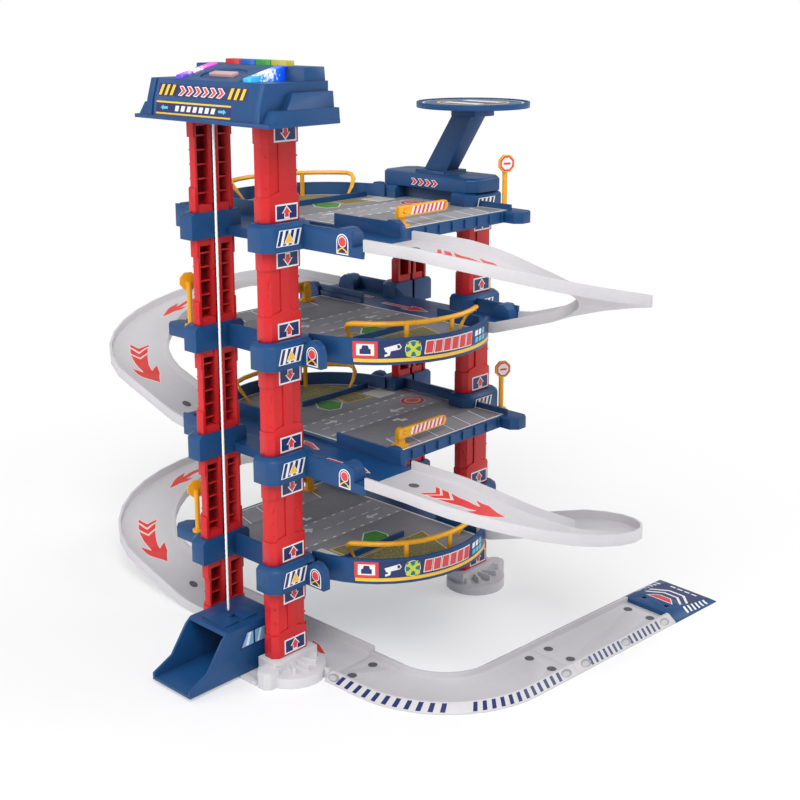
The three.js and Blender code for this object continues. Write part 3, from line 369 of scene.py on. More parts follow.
INKS = {
    "white": ink("white", (238, 238, 240)),
    "navy": ink("navy", (27, 44, 98)),
    "red": ink("red", (222, 62, 62)),
    "yellow": ink("yellow", (246, 196, 62)),
    "black": ink("black", (34, 34, 38)),
    "cyan": ink("cyan", (92, 190, 222)),
    "teal": ink("teal", (34, 112, 134)),
    "lime": ink("lime", (204, 218, 58)),
    "orange": ink("orange", (240, 120, 60)),
    "cream": ink("cream", (206, 202, 186)),
    "glass": ink("glass", (126, 186, 226), 0.2),
    "blush": ink("blush", (244, 216, 206)),
    # shade and pale are painted shade and a painted highlight, for the scooped dimples on the track's rims
    "shade": ink("shade", (150, 150, 153), 0.45),
    "pale": ink("pale", (186, 185, 188), 0.45),
    # Painted shade for holes: dark discs where holes look dark inside
    "painted_hole_shade": ink("painted_hole_shade", (92, 90, 94), 0.6),
    "pad": ink("pad", (70, 96, 128), 0.4),
    "tarmac": speckled("tarmac", (134, 133, 137), (166, 164, 166), 0.6, 900),
    "road": speckled("road", (160, 158, 162), (186, 184, 186), 0.6, 900),
    "hatch": speckled("hatch", (112, 108, 76), (182, 168, 74), 0.52, 520),
    "grass": speckled("grass", (64, 148, 32), (30, 104, 22), 0.52, 420),
}

FILM_RISE = 0.06
FILM_SINK = 0.05


def counter_clockwise(outline):
    """Outline in the order that faces up."""
    turn = sum(a[0] * b[1] - b[0] * a[1] for a, b in zip(outline, outline[1:] + outline[:1]))
    return outline if turn > 0 else outline[::-1]


def flat_sheet(outline, step):
    """Outline filled with faces, cut into cells where the seat bends."""
    part = bmesh.new()
    corners = [part.verts.new((u, v, 0)) for u, v in counter_clockwise(outline)]
    face = part.faces.new(corners)
    face.normal_update()
    bmesh.ops.triangulate(part, faces=[face], ngon_method="EAR_CLIP")
    if step:
        for axis in (0, 1):
            low = min(corner[axis] for corner in outline)
            high = max(corner[axis] for corner in outline)
            cells = math.ceil((high - low) / step)
            for cell in range(1, cells):
                through = [0, 0, 0]
                through[axis] = low + (high - low) * cell / cells
                normal = [0, 0, 0]
                normal[axis] = 1
                everything = part.verts[:] + part.edges[:] + part.faces[:]
                bmesh.ops.bisect_plane(part, geom=everything, plane_co=through, plane_no=normal, dist=1e-5)
    return part


def film(name, body, seat, layers, step=None, sink=FILM_SINK, rise=FILM_RISE):
    """One printed film.

    The seat turns u, v and a height in millimetres into a place in metres. Each layer is an ink and
    a list of outlines.
    """
    build = bmesh.new()
    inks = []
    for rank, (key, outlines) in enumerate(layers):
        if key not in inks:
            inks.append(key)
        for outline in outlines:
            part = flat_sheet(outline, step)
            lower = {v: build.verts.new((v.co.x, v.co.y, -sink)) for v in part.verts}
            upper = {v: build.verts.new((v.co.x, v.co.y, rise * (rank + 1))) for v in part.verts}
            faces = []
            for face in part.faces:
                faces.append([upper[v] for v in face.verts])
                faces.append([lower[v] for v in reversed(face.verts)])
            for edge in part.edges:
                if edge.is_boundary:
                    start = edge.link_loops[0].vert
                    end = edge.other_vert(start)
                    faces.append([lower[start], lower[end], upper[end], upper[start]])
            for corners in faces:
                build.faces.new(corners).material_index = inks.index(key)
            part.free()
    for vertex in build.verts:
        vertex.co = seat(*vertex.co)
    mesh = bpy.data.meshes.new(name)
    build.to_mesh(mesh)
    build.free()
    for key in inks:
        mesh.materials.append(INKS[key])
    obj = bpy.data.objects.new(name, mesh)
    scene.collection.objects.link(obj)
    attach(obj, body)
    return obj


def plane(origin, along, up):
    """Flat seat: u runs along, v runs up, and heights leave the surface."""
    origin, along, up = Vector(origin), Vector(along), Vector(up)
    normal = along.cross(up)
    return lambda u, v, w: (origin + along * u + up * v + normal * w) * MM


def cylinder(centre, radius, bottom, start):
    """Seat on the outside of an upright cylinder: u runs counter-clockwise from the angle start."""

    def seat(u, v, w):
        angle = math.radians(start) + u / radius
        reach = radius + w
        x = centre[0] + reach * math.cos(angle)
        y = centre[1] + reach * math.sin(angle)
        return Vector((x, y, bottom + v)) * MM

    return seat


def on_deck(level, height):
    """Level seat in the places of an even deck; an odd one is turned half a turn."""
    facing = 1 if level % 2 == 0 else -1
    origin = (0, 0) if facing > 0 else (BAY_LENGTH, BAY_WIDTH)
    return plane((*origin, level_z(level) + height), (facing, 0, 0), (0, facing, 0))


def rect(left, bottom, right, top):
    """Corners of an upright rectangle."""
    return [(left, bottom), (right, bottom), (right, top), (left, top)]


def slanted(left, bottom, right, top, lean):
    """Rectangle whose top is shifted by lean."""
    return [(left, bottom), (right, bottom), (right + lean, top), (left + lean, top)]


def row(start, pitch, width, count, bottom, top, lean):
    """Slanted bars side by side."""
    return [slanted(start + pitch * i, bottom, start + width + pitch * i, top, lean) for i in range(count)]


def arrow_from(half):
    """Outline of an arrow from its right half, which runs from the foot up to the tip."""
    foot, *side, tip = half
    return [(-foot[0], foot[1]), foot, *side, tip, *((-u, v) for u, v in reversed(side))]


def flipped(outline, way):
    """Outline mirrored sideways where the way is -1."""
    return [(way * u, v) for u, v in outline]


def arc(u, v, radius_u, radius_v, start, end, steps):
    """Points of an elliptic arc, between two angles in degrees."""
    turns = [math.radians(start + (end - start) * i / steps) for i in range(steps + 1)]
    return [(u + radius_u * math.cos(turn), v + radius_v * math.sin(turn)) for turn in turns]


def oval(u, v, radius_u, radius_v, steps=24):
    """Closed ellipse."""
    return arc(u, v, radius_u, radius_v, 0, 360, steps)[1:]


def moved(outline, u, v, turn=0.0, share=1.0):
    """Outline scaled, turned by degrees and moved."""
    cos, sin = math.cos(math.radians(turn)), math.sin(math.radians(turn))
    return [(u + share * (a * cos - b * sin), v + share * (a * sin + b * cos)) for a, b in outline]


def grown(outline, by):
    """Outline whose edges are moved outwards, with blunted tips."""
    outline = counter_clockwise(outline)
    result = []
    for i, (u, v) in enumerate(outline):
        before, after = outline[i - 1], outline[(i + 1) % len(outline)]
        first = Vector((v - before[1], before[0] - u)).normalized()
        second = Vector((after[1] - v, u - after[0])).normalized()
        reach = by / max(1 + first.dot(second), 0.45)
        result.append((u + (first.x + second.x) * reach, v + (first.y + second.y) * reach))
    return result


# Plates and stickers of the columns and collars
COLUMN_DEPTH = 13.0
PLATE_AT = 2.4
PLATE_WIDTH = 23.5
PLATE_HEIGHT = 13.0
PLATE_MARGIN = 1.3
PLATE_RIM = 1.3
FOOT_TOP = 18.8
COLLAR_FACE = 14.5

PLATE_ARROW = arrow_from([(2.2, -4.2), (2.2, -0.6), (4.2, -0.6), (0, 4.4)])
ARROW_SHARE = 0.9
ARROW_EDGE_SHARE = 1.22


def plate_layers(bottom, facing_up):
    """Outlines of a plate: rim, field, edge of the arrow and arrow."""
    left, right = PLATE_AT - PLATE_WIDTH / 2, PLATE_AT + PLATE_WIDTH / 2
    top = bottom + PLATE_HEIGHT
    middle = (bottom + top) / 2
    inner = (left + PLATE_RIM, bottom + PLATE_RIM, right - PLATE_RIM, top - PLATE_RIM)
    turn = 0 if facing_up else 180
    return (
        rect(left, bottom, right, top),
        rect(*inner),
        moved(PLATE_ARROW, PLATE_AT, middle, turn, ARROW_EDGE_SHARE),
        moved(PLATE_ARROW, PLATE_AT, middle, turn, ARROW_SHARE),
    )


def merged(groups, keys):
    """Layers that each hold one outline of every group."""
    return [(key, [group[i] for group in groups]) for i, key in enumerate(keys)]


# Striped sticker of a collar, from the underside of its deck
STICKER_BASE = (-16.5, 7.0)
STICKER_LOW = 4.6
STICKER_HIGH = 17.4
STICKER_LEAN = 3.6
STRIPE_START = -15.2
STRIPE_PITCH = 5.8
STRIPE_WIDTH = 3.0
STRIPE_COUNT = 4
STRIPE_INSET = 0.6
STRIPE_LEAN = 3.4
TRIANGLE = [(-4.4, -3.4), (4.4, -3.4), (0, 4.4)]
TRIANGLE_AT = (-3.0, 10.6)
TRIANGLE_EDGE_SHARE = 1.2

COLUMNS = (("front_right", 0, 0), ("front_left", 0, 1), ("rear_right", 1, 0), ("rear_left", 1, 1))

for name, rear, left in COLUMNS:
    facing = -1 if left else 1
    x, y = rear * BAY_LENGTH, left * BAY_WIDTH
    levels = [level_z(level) for level in LEVELS]
    above = [FOOT_TOP] + [z + COLLAR_HEIGHT for z in (levels if not rear else levels[:-1])]
    below = levels + ([ROOF_BOTTOM] if not rear else [])
    plates = [plate_layers(z + PLATE_MARGIN, True) for z in above]
    plates += [plate_layers(z - PLATE_MARGIN - PLATE_HEIGHT, False) for z in below]
    face = plane((x, y - facing * COLUMN_DEPTH / 2, 0), (facing, 0, 0), (0, 0, 1))
    film("plates_" + name, "garage", face, merged(plates, ("white", "navy", "white", "red")))

    # Striped stickers with a yellow triangle on the collars
    bases, stripes, edges, signs = [], [], [], []
    for z in levels:
        low, high = z + STICKER_LOW, z + STICKER_HIGH
        bases.append(slanted(STICKER_BASE[0], low, STICKER_BASE[1], high, STICKER_LEAN))
        stripe_ends = (low + STRIPE_INSET, high - STRIPE_INSET)
        stripes += row(STRIPE_START, STRIPE_PITCH, STRIPE_WIDTH, STRIPE_COUNT, *stripe_ends, STRIPE_LEAN)
        at = (TRIANGLE_AT[0], z + TRIANGLE_AT[1])
        edges.append(moved(TRIANGLE, *at, share=TRIANGLE_EDGE_SHARE))
        signs.append(moved(TRIANGLE, *at))
    face = plane((x, y - facing * COLLAR_FACE, 0), (facing, 0, 0), (0, 0, 1))
    layers = [("white", bases), ("navy", stripes), ("white", edges), ("yellow", signs)]
    film("stripes_" + name, "garage", face, layers)


# Lamp stickers on the rounded blocks that face the front
LAMP_RISE = 1.2
LAMP_SHOULDER = 9.5
LAMP_HALF = 6.5
LAMP_RIM = 1.0
LAMP_AT = (0, 9.8)
LAMP_EDGE = 4.4
LAMP_RADIUS = 3.7
CHEVRON_RISE = 1.2
MARK_RISE = 1.9
MARK_SHARE = 0.6


def archway(half, bottom):
    """Outline with a round top."""
    return [(-half, bottom), (half, bottom)] + arc(0, LAMP_SHOULDER, half, half, 0, 180, 12)


def lamp_layers():
    """Sticker with a red lamp over a yellow chevron."""
    arch = archway(LAMP_HALF, 0)
    panel = archway(LAMP_HALF - LAMP_RIM, LAMP_RIM)
    chevron = [(-5.2, 0), (0, 2.6), (5.2, 0), (5.2, 1.8), (0, 4.4), (-5.2, 1.8)]
    at = [
        ("white", [arch]),
        ("navy", [panel]),
        ("white", [oval(*LAMP_AT, LAMP_EDGE, LAMP_EDGE)]),
        ("red", [oval(*LAMP_AT, LAMP_RADIUS, LAMP_RADIUS)]),
        ("yellow", [moved(chevron, 0, CHEVRON_RISE)]),
        ("black", [moved(chevron, 0, MARK_RISE, share=MARK_SHARE)]),
    ]
    return [(key, [moved(outline, 0, LAMP_RISE) for outline in outlines]) for key, outlines in at]


DOME_END = 58.5
DOME_FACE = 12.0
DECK_END = 232.0
REAR_DOME = 110.7

for level in LEVELS:
    x, y = (DOME_FACE, -DOME_END) if level % 2 == 0 else (BAY_LENGTH - DECK_END, BAY_WIDTH - REAR_DOME)
    face = plane((x, y, level_z(level)), (0, -1, 0), (0, 0, 1))
    film("lamp_sticker_%d" % level, "garage", face, lamp_layers())


# Band round the outside of the round side, in millimetres along it
BULGE = (BAY_LENGTH / 2, 78.0)
BULGE_RADIUS = 96.0
BAND_START = 31.0  # degrees
BAND_LENGTH = 150.0
BAND_HEIGHT = 18.0
BAND_BOTTOM = 2.0
BAND_FRAME = 20.5
BLOCK_START = 60.0
BLOCK_PITCH = 8.6
BLOCK_WIDTH = 6.2
BLOCK_COUNT = 6
BLOCK_DROP = 0.1
PANES = (116.0, 6.5, 4.4, 3)  # start, pitch, width and count
BADGE_AT = (49.5, 10.7)
CAMERA_AT = (32.5, 11.4)
FACET_DEPTH = 0.4


def band_layers():
    """Pictogram of a car, camera, round badge, plain blocks and panes over a yellow stripe."""
    car = [(-5, -4), (5, -4), (5, 0.4), (3.4, 0.8), (2.4, 4), (-2.4, 4), (-3.4, 0.8), (-5, 0.4)]
    camera_body = [(-7.2, 1.0), (5.6, 4.2), (7.4, 1.6), (5.8, -0.4), (-5.6, -2.6)]
    camera_nose = [(3.6, 3.0), (5.2, 3.4), (6.4, 1.6), (5.2, 0.4), (4.0, 0.3)]
    bracket = [(-4.6, -2.2), (-1.6, -1.6), (-2.4, -5.2), (-6.6, -6.4), (-6.6, -4.6), (-4.2, -4.0)]
    bar = rect(-6.0, -1.3, 6.0, 1.3)
    blocks = []
    for i in range(BLOCK_COUNT):
        start = BLOCK_START + BLOCK_PITCH * i
        blocks.append(slanted(start, 6.2 - BLOCK_DROP * i, start + BLOCK_WIDTH, 15.8, 1.4))
    upper_panes = row(*PANES, 11.0, 15.6, 1.0)
    lower_panes = row(*PANES, 5.6, 9.6, 1.0)
    return [
        ("navy", [rect(0, 0, BAND_LENGTH, BAND_HEIGHT)]),
        ("yellow", [rect(0.6, 0.5, BAND_LENGTH - 0.8, 3.5)]),
        ("red", [rect(0, 4.0, BAND_FRAME, BAND_HEIGHT - 0.1)]),
        ("white", [rect(3.0, 6.2, BAND_FRAME - 3.0, BAND_HEIGHT - 2.3), oval(*BADGE_AT, 7.0, 7.0)]
         + [moved(camera_body, *CAMERA_AT)]
         + [grown(block, 0.9) for block in blocks] + upper_panes[:2]),
        ("white", [moved(bracket, *CAMERA_AT)]),
        ("navy", [moved(car, BAND_FRAME / 2, 11, share=0.9), moved(camera_nose, *CAMERA_AT)]),
        ("teal", [oval(*BADGE_AT, 6.4, 6.4)]),
        ("cyan", lower_panes + upper_panes[2:]),
        ("red", blocks),
        ("lime", [moved(bar, *BADGE_AT, 45)]),
        ("lime", [moved(bar, *BADGE_AT, -45)]),
        ("lime", [oval(BADGE_AT[0] + a, BADGE_AT[1] + b, 2.3, 2.3, 12) for a in (-4, 4) for b in (-4, 4)]),
        ("teal", [oval(BADGE_AT[0] + a, BADGE_AT[1] + 5, 1.1, 1.1, 8) for a in (-5, 5)]),
    ]


for level in LEVELS:
    odd = level % 2
    centre = (BULGE[0], BAY_WIDTH - BULGE[1]) if odd else BULGE
    start = BAND_START + (180 if odd else 0)
    seat = cylinder(centre, BULGE_RADIUS, level_z(level) + BAND_BOTTOM, start)
    film("round_band_%d" % level, "garage", seat, band_layers(), step=5, sink=FACET_DEPTH)


# Printed floors, in the places of an even deck
FLOOR_TOP = 10.0
LANE_TOP = 8.0
FLOOR_FROM = 71.6
FLOOR_TO = 229.4
FLOOR_EDGE = -47.4
FLOOR_BACK = 94.0
ROUND_REACH = 93.3
ROAD_MIDDLE = BAY_WIDTH / 2
ROAD_HALF = 18.75
EDGE_DASHES = (78, 11.7, 4.2, 12)  # start, pitch, length and count
MIDDLE_DASHES = (84, 16, 9, 5)
BAY_LINES = (96, 22, 1.6, 6)
BAY_FIELDS = (98.6, 22, 18.2, 5)
BAY_LEAN = 8
RING_AT = (203, ROAD_MIDDLE)


def floor_outline():
    """Printed floor with its round side."""
    low = math.degrees(math.asin((FLOOR_BACK - BULGE[1]) / ROUND_REACH))
    high = math.degrees(math.acos((FLOOR_FROM - BULGE[0]) / ROUND_REACH))
    edge = [(FLOOR_FROM, FLOOR_EDGE), (FLOOR_TO, FLOOR_EDGE), (FLOOR_TO, FLOOR_BACK)]
    return edge + arc(*BULGE, ROUND_REACH, ROUND_REACH, low, high, 20)


def floor_layers():
    """Lane, parking bays, hatched and grass patches, ring and arrows."""
    outline = floor_outline()
    road_low, road_high = ROAD_MIDDLE - ROAD_HALF, ROAD_MIDDLE + ROAD_HALF
    dashes = row(*EDGE_DASHES, road_low - 1.0, road_low + 1.0, 0)
    dashes += row(*EDGE_DASHES, road_high - 1.0, road_high + 1.0, 0)
    dashes += row(*MIDDLE_DASHES, ROAD_MIDDLE - 0.6, ROAD_MIDDLE + 0.6, 0)
    bays = row(*BAY_LINES, -44, -16, BAY_LEAN)
    pointer = [(9, -1.8), (9, 1.8), (-2, 1.8), (-2, 6.4), (-9.5, 0), (-2, -6.4), (-2, -1.8)]
    hook = [(-8, 7.2), (-8, 2.6), (-4, 2.6), (-4, -2.0), (4, -2.0), (4, 1.6), (-0.4, 1.6), (-0.4, 7.2)]
    green = [(128, 79), (139, 76), (153, 88), (150, 100), (135, 104), (127, 92)]
    olive = [(156, 84), (184, 80), (184, 101), (160, 101.5)]
    outer_olive = [(100, 111), (190, 111), (181, 141), (150, 158), (118, 163)]
    cream = rect(189, 73, 210, 94)
    return [
        ("white", [outline]),
        ("tarmac", [grown(outline, -2.4)]),
        ("road", [rect(FLOOR_FROM + 2, road_low - 1.6, FLOOR_TO - 2, road_high + 1.6)]
         + row(*BAY_FIELDS, -43.4, -16.6, BAY_LEAN)),
        ("white", dashes + bays + [moved(pointer, 172, ROAD_MIDDLE - 8.8), moved(hook, 150, 14, 180)]
         + [grown(cream, 1.0), oval(*RING_AT, 12.8, 11.6), grown(green, 1.3)]
         + [moved(pointer, 104, ROAD_MIDDLE + 9, 180, 0.8)]),
        ("yellow", [grown(olive, 1.0), grown(outer_olive, 1.0)]),
        ("hatch", [olive, outer_olive]),
        ("grass", [green]),
        ("cream", [cream]),
        ("red", [oval(*RING_AT, 12.0, 10.8)]),
        ("white", [oval(*RING_AT, 8.6, 7.4)]),
        ("orange", [oval(*RING_AT, 7.4, 6.2)]),
        ("tarmac", [moved(rect(-4.6, -1.2, 4.6, 1.2), *RING_AT, 40)]),
    ]


LANE_MIDDLE = 40.5
LONG_ARROW = arrow_from([(1.8, 0), (2.6, 34), (7.4, 30), (6.4, 40), (0, 54)])

for level in LEVELS:
    film("floor_print_%d" % level, "garage", on_deck(level, FLOOR_TOP), floor_layers())
    place = (LANE_MIDDLE + 9, 66, 180) if level % 2 == 0 else (LANE_MIDDLE + 7, 14)
    arrows = [moved(LONG_ARROW, *place), moved(LONG_ARROW, LANE_MIDDLE - 3, -12, 180, 0.9)]
    edges = [grown(arrow, 1.1) for arrow in arrows]
    film("lane_print_%d" % level, "garage", on_deck(level, LANE_TOP), [("white", edges), ("red", arrows)])


# Prints on the ramps and the ground track follow the surface under them
def surface_of(names):
    """Search tree of the faces of some nodes."""
    bpy.context.view_layer.update()
    places, faces = [], []
    for name in names:
        obj = nodes[name]
        first = len(places)
        places += [obj.matrix_world @ vertex.co for vertex in obj.data.vertices]
        faces += [[first + index for index in polygon.vertices] for polygon in obj.data.polygons]
    return BVHTree.FromPolygons(places, faces)


def along_path(path, names, top, turned=False):
    """Seat on top of nodes: v is the run along a path, u lies to the right of its heading."""
    tree = surface_of(names)

    def seat(u, v, w):
        x, y, heading = path(v)
        x += math.sin(heading) * u
        y -= math.cos(heading) * u
        if turned:
            x, y = BAY_LENGTH - x, BAY_WIDTH - y
        hit = tree.ray_cast(Vector((x, y, top)) * MM, Vector((0, 0, -1)))[0]
        if hit is None:
            raise ValueError("no surface under %s at %.1f, %.1f" % (names[0], u, v))
        return hit + Vector((0, 0, w * MM))

    return seat


RAMP_START = -80.3
RAMP_TURN = -140.0
TURN_RADIUS = BAY_LENGTH / 2 - LANE_MIDDLE
RAMP_TOP = 16.0


def ramp_path(run):
    """Centre line of a ramp in the places of an even deck."""
    lead = RAMP_START - RAMP_TURN
    if run < lead:
        return LANE_MIDDLE, RAMP_START - run, -math.pi / 2
    swept = min((run - lead) / TURN_RADIUS, math.pi)
    rest = max(run - lead - math.pi * TURN_RADIUS, 0)
    x = BAY_LENGTH / 2 - TURN_RADIUS * math.cos(swept)
    return x, RAMP_TURN - TURN_RADIUS * math.sin(swept) + rest, swept - math.pi / 2


SHORT_ARROW = arrow_from([(3.6, 0), (3.0, 23), (9.5, 17), (8.0, 27), (0, 43)])
TRAIL = [
    [(-9, 0), (0, 8), (9, 0), (9, 4), (0, 12.5), (-9, 4)],
    [(-8.5, 7), (0, 15.5), (8.5, 7), (8.2, 14), (0, 23), (-8.2, 14)],
    [(-8, 17.5), (0, 26.5), (8, 17.5), (4.2, 46), (4.8, 47.5), (12.5, 40), (10, 53), (0, 68)]
    + [(-10, 53), (-12.5, 40), (-4.8, 47.5), (-4.2, 46)],
]

# Places along a ramp
LEFT_TRAIL_RUN = 250
RIGHT_TRAIL_RUN = 42
LEFT_ARROW_RUN = 154
LAST_ARROW = (2, 500)
SLOT_RUNS = (27, 358)
RAMPS = ((4, "ramp_4_to_3"), (3, "ramp_3_to_2"), (2, "ramp_2_to_1"), (1, "ramp_1_to_ground"))
for level, name in RAMPS:
    left = level % 2 == 1
    seat = along_path(ramp_path, [name], level_z(level) + RAMP_TOP, turned=left)
    trail_run = LEFT_TRAIL_RUN if left else RIGHT_TRAIL_RUN
    arrows = [moved(outline, 0, trail_run) for outline in TRAIL]
    if left:
        arrows.append(moved(SHORT_ARROW, 0, LEFT_ARROW_RUN))
    if level == 1:
        arrows.append(moved(SHORT_ARROW, *LAST_ARROW))
    edges = [grown(outline, 0.9) for outline in arrows]
    # Dark ovals of painted shade over the slots in the ramp
    slot_shades = [oval(0, run, 3.6, 4.6) for run in SLOT_RUNS]
    layers = [("blush", edges), ("red", arrows), ("painted_hole_shade", slot_shades)]
    film("arrows_" + name, "garage", seat, layers, step=2.5, sink=0.3, rise=0.14)

# Ground track
TRACK_START = -36.3
TRACK_TURN = -72.0
TRACK_RADIUS = 78.0
TRACK_ANGLE = math.radians(86)
TRACK_TOP = 12.0
TRACKS = ["track_curve", "track_straight", "track_end_ramp"]
RIM_MIDDLE = 28.5
CURVE_LEAD_OUT = 52
STRAIGHT_END = 190.6
TURN_END = TRACK_START - TRACK_TURN + TRACK_ANGLE * TRACK_RADIUS
END_RAMP = TURN_END + STRAIGHT_END


def track_path(run, aside=0.0):
    """Line along the track, at a distance to the right of its middle."""
    radius = TRACK_RADIUS + aside
    lead = TRACK_START - TRACK_TURN
    swept = min(max(run - lead, 0) / radius, TRACK_ANGLE)
    rest = max(run - lead - TRACK_ANGLE * radius, 0)
    heading = swept - math.pi / 2
    x = LANE_MIDDLE + TRACK_RADIUS - radius * math.cos(swept) + rest * math.cos(heading)
    y = TRACK_START - min(run, lead) - radius * math.sin(swept) + rest * math.sin(heading)
    return x, y, heading


# Bars on a rim: start, count, pitch and width of each group, then the places of the scooped dimples
BAR_LEAN = 1.8
RIM_BARS = {
    1: (((14, 11, 9.7, 4.1), (137, 12, 8.0, 3.6), (267.5, 7, 6.6, 3.0), (323, 7, 6.6, 3.0)),
        (7, 235.6, 261.4, 316.9, 374)),
    -1: (((14, 6, 8.0, 3.6), (84, 7, 8.0, 3.6), (181.9, 7, 6.6, 3.0), (237.4, 7, 6.6, 3.0)),
         (7, 150, 175.8, 231.3, 288.4)),
}
RIM_HALF = 3.3
# A scooped dimple is drawn as painted shade, a grey oval, with a painted highlight, a pale crescent in it
DIMPLE_SHADE = (3.0, 6.0)
DIMPLE_HIGHLIGHT = (1.9, 4.2)
for side, (groups, dimples) in RIM_BARS.items():
    rim_seat = along_path(lambda v, side=side: track_path(v, side * RIM_MIDDLE), TRACKS, TRACK_TOP)
    bars = []
    for start, count, pitch, width in groups:
        for i in range(count):
            v = start + i * pitch
            low, high = v - BAR_LEAN, v + width - BAR_LEAN
            bar = [(-RIM_HALF, v), (RIM_HALF, low), (RIM_HALF, high), (-RIM_HALF, v + width)]
            bars.append(flipped(bar, side))
    dimple_shades = [oval(0, v, *DIMPLE_SHADE) for v in dimples]
    dimple_highlights = [oval(0.5 * side, v - 1, *DIMPLE_HIGHLIGHT) for v in dimples]
    name = "track_bars_right" if side > 0 else "track_bars_left"
    film(name, "garage", rim_seat, [("navy", bars), ("shade", dimple_shades), ("pale", dimple_highlights)], step=3)

# Painted shade of the peg recesses: dark discs in squares round the joints of the track, level with its
# floor on a plain stretch
PLAIN_RUN = 60.0
TRACK_FLOOR = along_path(track_path, TRACKS, TRACK_TOP)(0, PLAIN_RUN, 0).z


def floor_seat(u, v, w):
    """Level seat on the floor of the track."""
    x, y, heading = track_path(v)
    x += math.sin(heading) * u
    y -= math.cos(heading) * u
    return Vector((x * MM, y * MM, TRACK_FLOOR + w * MM))


PEG_SPREAD = 12.5
PEG_RADIUS = 4.2
CURVE_END = TURN_END + CURVE_LEAD_OUT
peg_shades = [oval(u, v, PEG_RADIUS, PEG_RADIUS, 16)
        for v in (PEG_SPREAD, CURVE_END - PEG_SPREAD, CURVE_END + PEG_SPREAD, END_RAMP - PEG_SPREAD)
        for u in (-PEG_SPREAD, PEG_SPREAD)]
film("painted_peg_shade", "garage", floor_seat, [("painted_hole_shade", peg_shades)])

# End ramp: a dark field at its far end, with white lines round a red patch
field = [(-23.5, 31), (23.5, 31), (23.5, 63.5), (-23.5, 63.5)]
roof_line = [(-20, 0), (-7, 13), (7, 13), (20, 0), (20, 3.2), (8, 15.6), (-8, 15.6), (-20, 3.2)]
patch = moved([(-13, 0), (13, 0), (5.4, 8), (-5.4, 8)], 0, 20)
rim_bars = [
    [(side * a, b + 22 + i * 6.2) for a, b in ((24.4, 0), (30.6, -1.2), (30.6, 1.4), (24.4, 2.6))]
    for side in (1, -1)
    for i in range(6)
]
lines = [moved(roof_line, 0, 23), moved(roof_line, 0, 31, share=1.08), grown(patch, 1.2)]
dashes = [moved(rect(-2.8, -1.2, 2.8, 1.2), u, 58) for u in (-12, -4, 4, 12)]
end_layers = [("navy", [field]), ("white", lines + rim_bars), ("red", [patch]), ("white", dashes)]
end_seat = along_path(lambda v: track_path(END_RAMP + v), TRACKS, TRACK_TOP)
film("end_ramp_print", "garage", end_seat, end_layers, step=6)


# Roof: warning bars and chevrons on the upper band, arrows and blocks on the lower one
ROOF_MIDDLE = BAY_WIDTH / 2
BROW = (-38.0, ROOF_BOTTOM + 15)
FRONT_TOP = (-33.0, ROOF_BOTTOM + 32)
FRONT_LOW = (-40.0, ROOF_BOTTOM)


def front_plane(low, high):
    """Seat on a leaning front: u runs to the right as seen from the front."""
    up = Vector((high[0] - low[0], 0, high[1] - low[1])).normalized()
    return plane((low[0], ROOF_MIDDLE, low[1]), (0, -1, 0), up)


WARNING_ROWS = ((-56.6, 7.0, 3.4, 3), (28.6, 7.0, 3.4, 3))
WARNING_HEIGHTS = (4.2, 12.8)
WARNING_LEAN = 2.4
WARNING_FIELDS = ((-56.6, -35.4), (28.6, 47.4))
UPPER_BAND = (-58, 3.4, 51, 13.6)
ROOF_MARKS = (-31, 9.4, 5.0, 6)  # start, pitch, bottom and count
ROOF_MARK_EDGE = 0.8
LOWER_SIDES = (-58, 34)
LOWER_LINES = ((4.2, 5.5), (13.2, 14.5))
LOWER_BLOCKS = (-34, 7.4, 4.4, 7)
LOWER_BLOCK_HEIGHTS = (7.2, 11.5)
LOWER_BLOCK_LEAN = 1.2
POINTER_PLACES = ((-52, 7.2, 0), (28.5, 11.6, 180))


def mark_row(start, pitch, bottom, count, share=1):
    """Chevrons side by side."""
    return [moved(chevron, start + pitch * i, bottom, share=share) for i in range(count)]


chevron = [(0, 0), (3.4, 0), (7.4, 3.3), (3.4, 6.6), (0, 6.6), (4.0, 3.3)]
marks = mark_row(*ROOF_MARKS)
low, high = WARNING_HEIGHTS
upper = [
    ("navy", [rect(*UPPER_BAND)]),
    ("black", [slanted(left, low, right, high, WARNING_LEAN) for left, right in WARNING_FIELDS]),
    ("yellow", [bar for place in WARNING_ROWS for bar in row(*place, *WARNING_HEIGHTS, WARNING_LEAN)]),
    ("white", [grown(mark, ROOF_MARK_EDGE) for mark in marks]),
    ("red", marks),
]
film("roof_band_upper", "garage", front_plane(BROW, FRONT_TOP), upper)

pointer = [(0, 2.2), (3, 0), (3, 1.2), (9, 1.2), (9, 3.2), (3, 3.2), (3, 4.4)]
lower = [
    ("yellow", [rect(LOWER_SIDES[0], low, LOWER_SIDES[1], high) for low, high in LOWER_LINES]),
    ("navy", [rect(LOWER_SIDES[0], LOWER_LINES[0][1], LOWER_SIDES[1], LOWER_LINES[1][0])]),
    ("cyan", [moved(pointer, *place) for place in POINTER_PLACES]),
    ("white", row(*LOWER_BLOCKS, *LOWER_BLOCK_HEIGHTS, LOWER_BLOCK_LEAN)),
]
film("roof_band_lower", "garage", front_plane(FRONT_LOW, BROW), lower)

# Bare badge plate, standing in the oval dish of the sloping top
DISH_CENTRE = (-16.0, ROOF_BOTTOM + 35.2)
SADDLE_SLOPE = (41.0, 10.5)
BADGE_HALF_WIDTH = 14.0
BADGE_HALF_DEPTH = 3.6
BADGE_HEIGHT = 2.6
BADGE_SUNK = 0.3
BADGE_EDGE = 0.5


